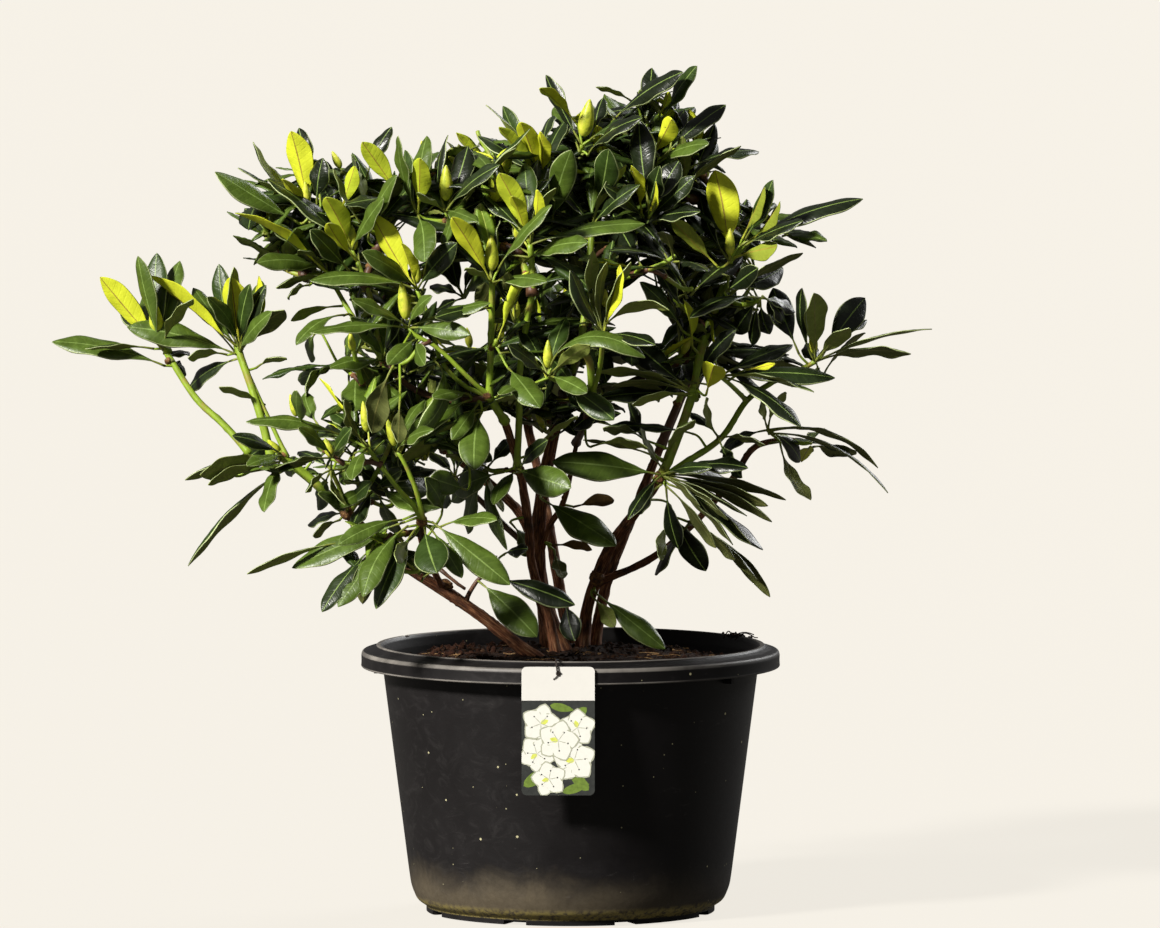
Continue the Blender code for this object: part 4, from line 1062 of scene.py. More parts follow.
def kept(rows, loose=16.0, front=0.9, shown=0.97):
    """The leaves that stay inside the crown, out of the gaps and behind the front ones."""
    if not rows:
        return []
    net = leaf_points(stack(rows))
    shown_there = allowed_share(net) >= shown
    behind = behind_share(net) >= front
    inside = ((net > LOW_LIMIT) & (net < HIGH_LIMIT)).all(axis=(1, 2, 3))
    over_pot = ((np.hypot(net[..., 0], net[..., 1]) > 216) | (net[..., 2] > 274)).all(axis=(1, 2))
    good = []
    tips = seen(net[:, -1, 2])
    for k, row in enumerate(rows):
        if any(x0 < tips[k][0] < x1 and y0 < tips[k][1] < y1 for x0, y0, x1, y1 in CLEAR):
            continue
        if not (shown_there[k] and behind[k] and inside[k] and over_pot[k]):
            continue
        if outside_by(net[k, -1, 2])[0] > loose or outside_by(net[k, 10, 2])[0] > loose:
            continue
        good.append(row)
    return good


def shortened(rows):
    """Leaves drawn back until their tips lie in the crown."""
    made = []
    for row in rows:
        row = dict(row)
        for _ in range(3):
            far, _name = outside_by(row["tip"])
            if far < 8:
                break
            length = np.linalg.norm(row["tip"] - row["base"])
            if length < 78:
                break
            row["tip"] = row["base"] + (row["tip"] - row["base"]) * max(0.84, 76 / length)
            row["width"] *= 0.92
        made.append(row)
    return made


# the rear half of each listed whorl
rng = np.random.default_rng(23)
for centre, axis, mass, _ in list(CENTRES):
    rows = whorl_leaves(centre + np.array((0, 6, 0)), unit(axis + (0, 0.35, 0)), rng, 14,
                        108, usual_ages, start=rng.uniform(0, 6))
    rows = [row for row in rows if (row["tip"] - row["base"])[1] > 12]
    LEAVES["plain"][mass] += kept(shortened(rows), loose=22, front=0.8)

# the rest of the crown: whorls a way inside the masses' outer faces
rng = np.random.default_rng(31)
seeds = []
for name in MASSES:
    points, faces = MASS_MESH[name]
    corners = points[faces]
    middle = corners.mean(1)
    normal = np.cross(corners[:, 1] - corners[:, 0], corners[:, 2] - corners[:, 0])
    area = np.linalg.norm(normal, axis=1)
    normal = normal / np.maximum(area, 1e-9)[:, None]
    for k in rng.permutation(len(faces)):
        if normal[k][2] < -0.55:
            continue
        seeds.append((middle[k], normal[k], name))
seeds = [seeds[k] for k in rng.permutation(len(seeds))]
inner = []
for name in MASSES:
    low, high = MASS_BOX[name]
    for _ in range(40):
        place = rng.uniform(low, high)
        if outside_by(place, (name,))[0] < -22:
            inner.append((place, None, name))
seeds += [inner[k] for k in rng.permutation(len(inner))]
# the shaded middle of the crown is the densest
for name in ("leaves_core", "leaves_front", "leaves_mid_right", "leaves_front_right",
             "leaves_centre_low", "leaves_mid_left", "leaves_upper_left", "leaves_left_core",
             "leaves_top", "leaves_top_left"):
    low, high = MASS_BOX[name]
    for _ in range(130):
        place = rng.uniform(low, high)
        if outside_by(place, (name,))[0] < -6:
            seeds.append((place, "dense", name))
SPACING = 48.0
GROWN = []
for middle, normal, name in seeds:
    dense = isinstance(normal, str)
    if normal is None or dense:
        centre = middle
        normal = unit(np.array((centre[0] + 20, centre[1] - 20, centre[2] - 470)))
    else:
        centre = middle - normal * rng.uniform(54, 76) - Z_AXIS * 12
        if outside_by(middle + normal * 16)[0] < 2:
            continue
    taken = np.array([c[0] for c in CENTRES])
    gap = np.linalg.norm(taken - centre, axis=1).min()
    if gap < (36.0 if dense else SPACING):
        continue
    deep, where = outside_by(centre)
    if deep > -6:
        continue
    if centre[2] < 300 or (np.hypot(centre[0], centre[1]) < 215 and centre[2] < 330):
        continue
    flat = (seen(centre) / CELL).astype(int)
    if not ALLOWED[flat[1], flat[0]]:
        continue
    if any(x0 < px < x1 and y0 < py < y1 for x0, y0, x1, y1 in CLEAR
           for px, py in (seen(centre),)):
        continue
    if centre[1] < FRONT[flat[1], flat[0]] + 14:
        continue
    level = unit(normal * (1, 1, 0.4))
    axis = unit(0.55 * normal + 0.5 * Z_AXIS + 0.12 * rng.normal(size=3))
    if normal[2] < 0.1:
        axis = unit(0.75 * level + 0.55 * Z_AXIS + 0.1 * rng.normal(size=3))
    rows = whorl_leaves(centre, axis, rng, int(rng.integers(11, 15)), rng.uniform(100, 116),
                        shaded_ages if dense else usual_ages, start=rng.uniform(0, 6))
    rows = kept(shortened(rows), loose=34, front=0.80 if dense else 0.86,
                shown=0.90 if dense else 0.95)
    if len(rows) < 3:
        continue
    CENTRES.append((centre, axis, where, False))
    LEAVES["plain"][where] += rows
    top = centre + axis * rng.uniform(17, 24)
    flat = (seen(top) / CELL).astype(int)
    if (rng.random() < (0.35 if dense else 0.6)
            and top[1] > FRONT[flat[1] - 1:flat[1] + 2, flat[0] - 1:flat[0] + 2].max() + 6):
        BUDS.append((centre + axis * 2, top, rng.uniform(7.5, 8.5)))

print("whorls", len(CENTRES), "of them by hand", sum(c[3] for c in CENTRES),
      "leaves", {k: sum(map(len, v.values())) for k, v in LEAVES.items()})

# ================================================================ twigs
TWIGS = []  # path, radius at the start and the end, kind at the start, kind at the end
JOINTS = []  # place, axis, radius


class Growth:
    """Places that a new twig may leave from, each with its way, and what it carries."""

    def __init__(self):
        self.at, self.way, self.owner = [], [], []

    def offer(self, path, owner, first=0.0, last=1.0, every=9.0):
        run = along(path)
        tangent = unit(np.gradient(path, axis=0))
        for k in range(len(path)):
            share = run[k] / run[-1]
            if first <= share <= last and (k % max(1, int(every / max(run[-1] / len(path), 0.1))) == 0
                                           or k == len(path) - 1):
                self.at.append(path[k])
                self.way.append(tangent[k])
                self.owner.append(owner)


grow = Growth()
rng = np.random.default_rng(47)
for name in LIMBS:
    path = limb_path(name, 4)
    first = 0.86 if name in ("stem_left", "bough_side_right", "bough_left") else 0.7
    grow.offer(path, None, first, 1.0)
for path, r0, r1, kind in SHOOTS:
    path = catmull([spot(*p) for p in path], 4)
    TWIGS.append([path, r0, r1, kind, kind, 1])
    if along(path)[-1] > 30:
        grow.offer(path, len(TWIGS) - 1, 0.35, 0.82)
reached = {tuple(np.round(t[0][-1], 1)) for t in TWIGS}
waiting = []
for centre, axis, mass, by_hand in CENTRES:
    near = min(np.linalg.norm(t[0][-1] - centre) for t in TWIGS)
    if by_hand and near < 14:
        continue
    waiting.append((centre, axis))
ends = [limb_path(name, 4)[-1] for name in LIMBS]


def sky_share(path):
    flat = seen(path)
    hit = np.zeros(len(path), bool)
    for left, top, right, foot in SKY:
        hit |= ((flat[:, 0] > left - 2) & (flat[:, 0] < right + 2)
                & (flat[:, 1] > top - 2) & (flat[:, 1] < foot + 2))
    return hit.mean()


def twig_path(start, way, centre, axis):
    span = float(np.linalg.norm(centre - start))
    leave = unit(0.75 * way + unit(centre - start))
    arrive = unit(0.8 * axis + unit(centre - start))
    return bezier(start, start + leave * span * 0.36, centre - arrive * span * 0.36, centre, 4)


# the frame's limbs carry on past their ends, each towards a whorl ahead of it
for name in LIMBS:
    if name in ("stem_right", "stem_left", "bough_left"):
        continue
    path = limb_path(name, 4)
    end, way = path[-1], unit(path[-1] - path[-4])
    r_end = LIMBS[name][1][1]
    if min(np.linalg.norm(t[0][0] - end) for t in TWIGS) < 12:
        continue
    for _ in range(2 if r_end > 4.2 else 1):
        ranked = []
        for k, (centre, axis) in enumerate(waiting):
            apart = centre - end
            span = float(np.linalg.norm(apart))
            if 40 < span < 260 and apart @ way > 0.45 * span:
                ranked.append((abs(span - 120) + 90 * (1 - apart @ way / span), k))
        if not ranked:
            break
        centre, axis = waiting.pop(min(ranked)[1])
        new = twig_path(end, way, centre, axis)
        TWIGS.append([new, r_end * 0.97, 2.2, "brown", "green", 1, None])
        grow.offer(new, len(TWIGS) - 1, 0.25, 0.85)

while waiting:
    at, ways = np.array(grow.at), np.array(grow.way)
    best = None
    for k, (centre, axis) in enumerate(waiting):
        apart = centre - at
        span = np.linalg.norm(apart, axis=1)
        turn = (apart * ways).sum(1) / np.maximum(span, 1e-6)
        cost = span * (1.5 - 0.6 * turn) + 0.5 * np.maximum(0, at[:, 2] - centre[2] + 10)
        j = int(cost.argmin())
        if best is None or cost[j] < best[0]:
            best = (cost[j], k, cost)
    _, k, cost = best
    centre, axis = waiting.pop(k)
    choice = None
    for j in np.argsort(cost)[:24]:
        path = twig_path(at[j], ways[j], centre, axis)
        total = cost[j] + 260 * sky_share(path)
        if choice is None or total < choice[0]:
            choice = (total, j, path)
    _, j, path = choice
    path = path + 1.6 * np.stack([field(path / 34 + 7 * i, len(TWIGS)) for i in range(3)], -1) * np.sin(
        np.pi * np.linspace(0, 1, len(path)))[:, None]
    owner = grow.owner[j]
    TWIGS.append([path, 0, 2.15, "brown", "green", 1, owner])
    grow.offer(path, len(TWIGS) - 1, 0.3, 0.8)
    while owner is not None:
        TWIGS[owner][5] += 1
        owner = TWIGS[owner][6] if len(TWIGS[owner]) > 6 else None
for twig in TWIGS:
    if not twig[1]:
        twig[1] = min(5.2, 2.15 * twig[5]**0.36 + 0.2)
longest = max(along(t[0])[-1] for t in TWIGS)
print("twigs", len(TWIGS), "longest", round(longest), "joined", round(sum(along(t[0])[-1] for t in TWIGS)))


def twig_relief(seed):
    def relief(points, run, around):
        ridge = 0.10 * np.sin(5 * around + 0.05 * run + seed)
        ridge += 0.14 * field(points / 2.6, 3 + seed)
        scar = np.zeros_like(run)
        count = int(run[-1, 0] / 11) + 1
        spots = np.random.default_rng(900 + seed)
        for k in range(count):
            where = spots.uniform(0, run[-1, 0])
            turn = 2.39996 * k
            gap = np.angle(np.exp(1j * (around - turn)))
            scar += 0.55 * np.exp(-((run - where) / 1.9)**2 - (gap / 0.55)**2)
        return ridge + scar
    return relief


green, brown = Shape(), Shape()
for k, twig in enumerate(TWIGS):
    path, r0, r1, first, last = twig[:5]
    run = along(path)
    share = run / run[-1]
    radii = r0 + (r1 - r0) * share**0.8
    fine = path
    split = 0 if first == last == "green" else len(path) - 1
    if first != last:
        split = int(np.searchsorted(run, max(run[-1] - 74, 0.3 * run[-1])))
        split = min(max(split, 0), len(path) - 3)
    parts = []
    if split > 1:
        parts.append((slice(0, split + 1), brown))
    if split < len(path) - 2:
        parts.append((slice(split, len(path)), green))
    for piece, into in parts:
        some = path[piece].copy()
        r = radii[piece].copy()
        if into is brown and piece.stop < len(path):
            r[-1] *= 1.04
        sides = 12 if r.max() > 2.6 else 10
        if piece.start == 0:
            some[0] = some[0] - unit(some[1] - some[0]) * 2.5
            r[:3] *= np.array((1.3, 1.18, 1.06))[:len(r[:3])]
        tube(into, some, r, sides, twig_relief(k))
    if len(parts) == 2:
        JOINTS.append((path[split], unit(path[split + 1] - path[split]), radii[split] * 1.28))

# a stalk for each listed leaf whose foot lies off the wood, from the nearest wood behind it
wood_at, wood_wide = [], []
for twig in TWIGS:
    share = along(twig[0]) / along(twig[0])[-1]
    wood_at.append(twig[0])
    wood_wide.append(twig[1] + (twig[2] - twig[1]) * share**0.8)
for name in LIMBS:
    path = limb_path(name, 4)
    share = along(path) / along(path)[-1]
    wood_at.append(path)
    wood_wide.append(LIMBS[name][1][0] + (LIMBS[name][1][1] - LIMBS[name][1][0]) * share)
wood_at, wood_wide = np.vstack(wood_at), np.concatenate(wood_wide)
drawn = 0
for rows in LEAVES["fine"].values():
    for row in rows:
        away = row["base"] - wood_at
        gap = np.linalg.norm(away, axis=1) - wood_wide
        if gap.min() < 1.6:
            continue
        way = unit(row["tip"] - row["base"])
        ahead = (away @ way) / np.maximum(np.linalg.norm(away, axis=1), 1e-6)
        j = int((gap * (1.35 - 0.6 * ahead)).argmin())
        start, span = wood_at[j], float(np.linalg.norm(away[j]))
        if span < 14:
            line = np.linspace(start, row["base"] + way * 1.2, 5)
        else:
            line = bezier(start, start + unit(away[j]) * span * 0.35,
                          row["base"] - way * span * 0.3, row["base"] + way * 2.0, 3)
        tube(green, line, np.linspace(1.5, 1.15, len(line)), 7, None)
        drawn += 1
print("stalks", drawn)

# ================================================================ bark of the limbs
bark, young = Shape(), Shape()


def bark_relief(seed, radius, old=1.0):
    def relief(points, run, around):
        stretch = np.stack([np.cos(around) * radius, np.sin(around) * radius, run / 13], -1)
        fibres = 0.42 * field(stretch / 0.95 + seed, 5) + 0.22 * field(
            np.stack([np.cos(around) * radius * 2.1, np.sin(around) * radius * 2.1, run / 7],
                     -1) + seed, 6)
        plates = field(np.stack([np.cos(around) * radius * 0.45 + seed,
                                 np.sin(around) * radius * 0.45, run / 30], -1), 7)
        step = 0.55 * smoothstep(plates, 0.05, 0.2)
        lumps = 0.05 * radius * field(points / 17, 8)
        scars = np.zeros_like(run)
        spots = np.random.default_rng(500 + int(seed))
        for k in range(int(run.max() / 26) + 1):
            where, turn = spots.uniform(0, run.max()), spots.uniform(-3.1, 3.1)
            gap = np.angle(np.exp(1j * (around - turn))) * radius
            far = np.hypot((run - where) / 1.3, gap)
            scars += 0.9 * np.exp(-((far - 2.6) / 1.0)**2) - 0.5 * np.exp(-(far / 1.9)**2)
        return old * (fibres + step) + lumps + 0.7 * scars
    return relief


for k, name in enumerate(LIMBS):
    rows, (r0, r1) = LIMBS[name]
    path = limb_path(name, 2.4)
    run = along(path)
    radii = r0 + (r1 - r0) * run / run[-1]
    if rows[0][2] is None:
        up = np.maximum(0, path[:, 2] - PEAT_TOP)
        radii = radii * (1 + 0.32 * np.exp(-up / 12.0))
    elif name not in ("bough_left",):
        radii = radii * (1 + 0.35 * np.exp(-run / 5.0))
    if name in GREEN:
        path, radii = path[::2], radii[::2]
        tube(young, path, radii, 18, twig_relief(70 + k))
    else:
        radii = radii * 0.88 - 0.3
        tube(bark, path, radii, 30 if r0 > 6 else 24, bark_relief(7 * k, float(r0)),
             spread=1.0)
        JOINTS.append((path[-1], unit(path[-1] - path[-2]), r1 * 1.12))
for px, py, depth, radius in ((347, 513, -102, 6.4), (422, 521, -189, 5.4),
                              (445, 587, -60, 7.6), (384, 362, -112, 4.2),
                              (488, 395, -150, 4.8), (520, 471, -72, 5.2),
                              (660.5, 477, -48, 6.6), (283, 456, -112, 4.2),
                              (168, 361, -90, 3.4), (597, 578, 40, 7.8)):
    JOINTS.append((spot(px, py, depth), unit((0.1, -0.1, 1)), radius))

knobs = Shape()
for k, (centre, axis, radius) in enumerate(JOINTS):
    def lumpy(share, turn, k=k):
        where = np.stack([np.cos(turn) * 1.6, np.sin(turn) * 1.6, share * 4], -1) + 3.1 * k
        rings = 0.10 * np.sin(share * 24 + 1.5 * np.sin(turn + k))
        return 0.22 * field(where, 9) + 0.12 * field(where * 2.7, 10) + rings
    rows, sides = (12, 18) if radius > 4.5 else (8, 12)
    ball(knobs, centre, axis, radius * 1.12, radius, rows, sides, lumpy)

# ================================================================ buds
def scales(share, turn):
    """Overlapping scales that wind up a bud."""
    value = np.zeros_like(share)
    for k in range(-1, 9):
        for j in range(3):
            angle = 2.39996 * (3 * k + j)
            gap = np.angle(np.exp(1j * (turn - angle)))
            low = (3 * k + j) / 26.0
            edge = smoothstep(share, low - 0.05 + 0.11 * (1 - np.abs(gap) / 1.3).clip(0), low + 0.26)
            value = np.maximum(value, (1 - edge) * np.exp(-(gap / 0.95)**4) * smoothstep(share, low - 0.25, low - 0.02))
    return 0.16 * value


buds = Shape()
for foot, tip, width in BUDS:
    way = tip - foot
    length = float(np.linalg.norm(way))
    length = max(length, 17.0)
    way = unit(way)
    width = float(np.clip(width, 7.5, 0.5 * length))
    ball(buds, foot + way * length * 0.46, way, length * 0.54, width * 0.5, 13, 16, scales,
         taper=0.55)

# ================================================================ the container
POT_HEIGHT, RIM_RADIUS, BAND_TOP, BAND_FOOT = 268.0, 209.5, 259.0, 246.0
LIP_RADIUS, FOOT_RADIUS = 190.5, 144.5
BODY_TOP, BODY_LOW = (188.0, 246.0), (162.2, 44.0)
WALL, FLOOR = 3.0, 8.0


def wall_at(z):
    (r_top, z_top), (r_low, z_low) = BODY_TOP, BODY_LOW
    return r_low + (r_top - r_low) / (z_top - z_low) * (z - z_low)


def rounded(points, sharp, steps=4):
    """A profile with its corners eased by the given radii."""
    made = []
    for k, (p, ease) in enumerate(zip(points, sharp)):
        p = np.array(p, float)
        if not ease or k in (0, len(points) - 1):
            made.append(p)
            continue
        a, b = np.array(points[k - 1], float), np.array(points[k + 1], float)
        ea = min(ease, 0.45 * np.linalg.norm(a - p))
        eb = min(ease, 0.45 * np.linalg.norm(b - p))
        start, end = p + unit(a - p) * ea, p + unit(b - p) * eb
        for t in np.linspace(0, 1, steps + 1):
            made.append((1 - t)**2 * start + 2 * t * (1 - t) * p + t * t * end)
    return made


def pot_rows():
    rows = [((0, FLOOR), 0), ((60, FLOOR), 0), ((118, FLOOR), 0), ((FOOT_RADIUS - 8, FLOOR), 4),
            ((152.2, 15), 5), ((158.2, 34), 4)]
    rows += [((wall_at(z) - WALL, z), 0) for z in (50, 90, 130, 170, 210, 246)]
    rows += [((wall_at(256) - WALL, 256), 1), ((LIP_RADIUS - 2.2, 264.6), 1.0),
             ((LIP_RADIUS - 0.2, POT_HEIGHT), 0.9), ((LIP_RADIUS + 3.4, POT_HEIGHT), 0.8),
             ((LIP_RADIUS + 4.8, POT_HEIGHT - 2.0), 0.8), ((RIM_RADIUS - 9, BAND_TOP + 4.6), 1.2),
             ((RIM_RADIUS - 1.2, BAND_TOP + 3.0), 2.4), ((RIM_RADIUS, BAND_TOP - 1.0), 1.6),
             ((RIM_RADIUS - 0.2, BAND_TOP - 6.5), 0), ((RIM_RADIUS, BAND_FOOT + 2.2), 0.5),
             ((RIM_RADIUS + 0.2, BAND_FOOT + 0.9), 0.6), ((RIM_RADIUS - 0.8, BAND_FOOT), 0.6),
             ((RIM_RADIUS - 2.8, BAND_FOOT), 0.5), ((RIM_RADIUS - 3.4, BAND_TOP - 3), 1.5),
             ((wall_at(256) + 3.0, 259.8), 1.5), ((wall_at(254) + 0.2, 254), 2.0)]
    rows += [((wall_at(z), z), 0) for z in (246, 236, 220, 200, 180, 160, 140, 120, 100, 80, 62)]
    rows += [((162.2, 44), 6), ((159.6, 26), 6), ((153.8, 12.5), 4), ((146.1, 7.4), 1.2),
             ((FOOT_RADIUS, 6.2), 0.6), ((FOOT_RADIUS, 0.5), 0.5), ((FOOT_RADIUS - 3, 0), 0.6),
             ((120, 0), 0), ((60, 0), 0), ((0, 0), 0)]
    return rounded([p for p, _ in rows], [e for _, e in rows])


def lathe(profile, sides, seed=0):
    """A closed shape turned round Z, whose profile starts and ends on the axis."""
    shape = Shape()
    inner = profile[1:-1]
    turn = np.linspace(0, 2 * math.pi, sides, endpoint=False)
    r = np.array([p[0] for p in inner])[:, None]
    z = np.array([p[1] for p in inner])[:, None] + 0 * turn[None]
    wobble = 1 + 0 * turn[None]
    points = np.stack([r * wobble * np.cos(turn), r * wobble * np.sin(turn), z], -1)
    rows = len(inner)
    a = np.arange(rows - 1)[:, None] * sides + np.arange(sides)[None]
    b = np.arange(rows - 1)[:, None] * sides + (np.arange(sides)[None] + 1) % sides
    quads = np.stack([a, b, b + sides, a + sides], -1).reshape(-1, 4)
    flat = points.reshape(-1, 3)
    flat = np.vstack([flat, (0, 0, profile[0][1]), (0, 0, profile[-1][1])])
    n, last = rows * sides, (rows - 1) * sides
    tris = [(n, k, (k + 1) % sides) for k in range(sides)]
    tris += [(n + 1, last + (k + 1) % sides, last + k) for k in range(sides)]
    shape.add(flat, quads, tris)
    return shape


def boxed(bm, centre, out, side, up, size):
    for v in bmesh.ops.create_cube(bm, size=1.0)["verts"]:
        v.co = Vector((centre + out * v.co.x * size[0] + side * v.co.y * size[1]
                       + up * v.co.z * size[2]) * MM)


def helper(name, bm):
    bmesh.ops.recalc_face_normals(bm, faces=bm.faces)
    mesh = bpy.data.meshes.new(name)
    bm.to_mesh(mesh)
    bm.free()
    made = bpy.data.objects.new(name, mesh)
    bpy.context.scene.collection.objects.link(made)
    return made


def applied(obj):
    """The object with its modifiers applied."""
    bpy.context.view_layer.update()
    graph = bpy.context.evaluated_depsgraph_get()
    mesh = bpy.data.meshes.new_from_object(obj.evaluated_get(graph))
    obj.modifiers.clear()
    obj.data = mesh
    return obj


def cut(obj, *tools, how="DIFFERENCE"):
    for tool in tools:
        step = obj.modifiers.new(tool.name, "BOOLEAN")
        step.operation, step.solver, step.object = how, "EXACT", tool
    applied(obj)
    for tool in tools:
        bpy.data.objects.remove(tool, do_unlink=True)
    return obj


def make_pot(looks):
    pot = lathe(pot_rows(), 192).object("nursery_pot", looks)
    bm = bmesh.new()
    bm.from_mesh(pot.data)
    bmesh.ops.recalc_face_normals(bm, faces=bm.faces)
    bm.to_mesh(pot.data)
    bm.free()
    grooves, holes, lugs = bmesh.new(), bmesh.new(), bmesh.new()
    for k in range(8):
        turn = (k + 0.5) * math.pi / 4
        out = np.array((math.cos(turn), math.sin(turn), 0))
        side = np.array((-out[1], out[0], 0))
        boxed(grooves, out * 138 + Z_AXIS * 0.8, out, side, Z_AXIS, (40, 24, 7.6))
        rod = bmesh.ops.create_cone(holes, cap_ends=True, segments=28, radius1=7 * MM,
                                    radius2=7 * MM, depth=30 * MM)["verts"]
        for v in rod:
            v.co += Vector(out * 127 * MM)
    # a nick in the lip at the back left
    turn = math.radians(150.3)
    out = np.array((math.cos(turn), math.sin(turn), 0))
    side = np.array((-out[1], out[0], 0))
    boxed(grooves, out * 191 + Z_AXIS * 268.4, out, side, Z_AXIS, (12, 7, 4.4))
    # short lugs under the band
    for turn in (180, -35, 72, 124):
        turn = math.radians(turn)
        out = np.array((math.cos(turn), math.sin(turn), 0))
        side = np.array((-out[1], out[0], 0))
        boxed(lugs, out * 191.2 + Z_AXIS * 243.0, out, side, Z_AXIS, (11, 5.0, 9.0))
    cut(pot, helper("grooves", grooves), helper("holes", holes))
    cut(pot, helper("lugs", lugs), how="UNION")
    pot.data.shade_smooth()
    pot.data.set_sharp_from_angle(angle=math.radians(34))
    return pot


# ================================================================ the peat
def peat_height(x, y):
    r = np.hypot(x, y)
    share = np.clip((r - 112) / 70, 0, 1)
    z = PEAT_TOP - 10 * share - 4 * share * (0.5 + 0.5 * x / np.maximum(r, 1))
    p = np.stack([x / 17, y / 17, 0 * x], -1)
    z = z + 1.5 * field(p, 21) + 0.9 * field(p * 2.3, 22) + 0.5 * field(p * 5.5, 23)
    return z


def make_peat(looks):
    shape = Shape()
    sides, rings = 160, 62
    turn = np.linspace(0, 2 * math.pi, sides, endpoint=False)
    r = 183.6 * np.linspace(0, 1, rings + 1)[1:]**0.85
    x, y = r[:, None] * np.cos(turn), r[:, None] * np.sin(turn)
    z = peat_height(x, y)
    z[-1] -= 2.5
    low = np.stack([181.6 * np.cos(turn), 181.6 * np.sin(turn), 236 + 0 * turn], -1)[None]
    lower = np.stack([160 * np.cos(turn), 160 * np.sin(turn), 52 + 0 * turn], -1)[None]
    foot = np.stack([134 * np.cos(turn), 134 * np.sin(turn), 8.6 + 0 * turn], -1)[None]
    points = np.concatenate([np.stack([x, y, z], -1), low, lower, foot])
    rows = len(points)
    a = np.arange(rows - 1)[:, None] * sides + np.arange(sides)[None]
    b = np.arange(rows - 1)[:, None] * sides + (np.arange(sides)[None] + 1) % sides
    quads = np.stack([a, a + sides, b + sides, b], -1).reshape(-1, 4)
    flat = np.vstack([points.reshape(-1, 3), (0, 0, float(peat_height(np.zeros(1), np.zeros(1))[0])),
                      (0, 0, 8.6)])
    n, last = rows * sides, (rows - 1) * sides
    tris = [(n, k, (k + 1) % sides) for k in range(sides)]
    tris += [(n + 1, last + (k + 1) % sides, last + k) for k in range(sides)]
    shape.add(flat, quads, tris)
    return shape.object("peat_bed", looks)


def crumbs_shape():
    """Loose crumbs, chips and fibres on the peat, and a few on the rim at the back right."""
    shape = Shape()
    bm = bmesh.new()
    bmesh.ops.create_icosphere(bm, subdivisions=1, radius=1.0)
    unit_points = np.array([v.co for v in bm.verts])
    unit_faces = np.array([[v.index for v in f.verts] for f in bm.faces])
    bm.free()
    rng = np.random.default_rng(61)

    def crumb(x, y, z, size, look):
        p = unit_points * (1 + 0.35 * field(unit_points * 1.7 + rng.uniform(0, 90, 3), 31)[:, None])
        p = p * size * rng.uniform(0.6, 1.25, 3)
        spin = rng.uniform(0, 6.28)
        c, s = math.cos(spin), math.sin(spin)
        p = p @ np.array(((c, -s, 0), (s, c, 0), (0, 0, 1)))
        shape.add(p + (x, y, z + 0.15 * size), tris=unit_faces, look=look)

    for _ in range(1150):
        r, turn = 178 * math.sqrt(rng.random()), rng.uniform(0, 6.283)
        x, y = r * math.cos(turn), r * math.sin(turn)
        size = float(np.clip(rng.lognormal(0.45, 0.45), 0.8, 5.0))
        reddish = 0.16 + 0.34 * (x < -60 and y > -120)
        share = 0.5 * reddish
        look = int(rng.choice((0, 1, 2), p=(0.7 * (1 - share), share, 0.3 * (1 - share))))
        crumb(x, y, float(peat_height(np.array(x), np.array(y))), size, look)
    for _ in range(34):  # the heap that shows at the left
        x, y = rng.normal(-112, 26), rng.normal(60, 50)
        if math.hypot(x, y) < 172:
            crumb(x, y, float(peat_height(np.array(x), np.array(y))) + 1, rng.uniform(2.5, 5.5), 1)
    for _ in range(26):  # dirt that lies on the rim
        turn = math.radians(rng.normal(30.5, 3.4))
        r = rng.uniform(188, 201)
        crumb(r * math.cos(turn), r * math.sin(turn), 267.0, rng.uniform(1.0, 2.8), 0)
    for _ in range(150):
        r, turn = 172 * math.sqrt(rng.random()), rng.uniform(0, 6.283)
        x, y = r * math.cos(turn), r * math.sin(turn)
        way = rng.uniform(0, 6.283)
        length = rng.uniform(6, 24)
        t = np.linspace(-0.5, 0.5, 7)
        px = x + t * length * math.cos(way) + 1.5 * np.sin(t * 5 + way)
        py = y + t * length * math.sin(way) + 1.5 * np.cos(t * 4 + way)
        pz = peat_height(px, py) + 1.0 + rng.uniform(0, 2.4) * (0.5 + t)
        tube(shape, np.stack([px, py, pz], -1), rng.uniform(0.25, 0.7), 5,
             look=int(rng.integers(1, 4)))
    for start, bend, length in ((29, 10, 30), (33, -8, 16), (26, 6, 22)):
        turn = math.radians(start)
        t = np.linspace(0, 1, 10)
        px = (184 + length * t) * math.cos(turn) + bend * t * t * 0.6
        py = (184 + length * t) * math.sin(turn) - bend * t * (1 - t)
        pz = 264.5 + 10 * np.sin(np.pi * np.clip(t * 1.1, 0, 1)) * 0.6 + 1.5 * t
        r = np.hypot(px, py)
        keep = r < 211
        tube(shape, np.stack([px, py, pz], -1)[keep], 0.6, 6, look=0)
    return shape


# ================================================================ the hang label
LABEL_WIDTH, LABEL_HEIGHT, LABEL_THICK = 72.0, 127.0, 0.9
LABEL_CORNER, LABEL_HOLE = 5.0, 2.4
LABEL_X, LABEL_TOP = -12.0, 264.5
LABEL_Y = -(RIM_RADIUS + 0.4 + LABEL_THICK / 2)
HEADER = 33.8


def label_point(x, z, y):
    return (LABEL_X + x, y, LABEL_TOP - z)


def card_outline():
    w, h, c = LABEL_WIDTH / 2, LABEL_HEIGHT, LABEL_CORNER
    made = []
    for cx, cz, start in ((w - c, c, -90), (w - c, h - c, 0), (c - w, h - c, 90), (c - w, c, 180)):
        for k in range(9):
            a = math.radians(start + 90 * k / 8)
            made.append((cx + c * math.cos(a), cz + c * math.sin(a)))
    return made


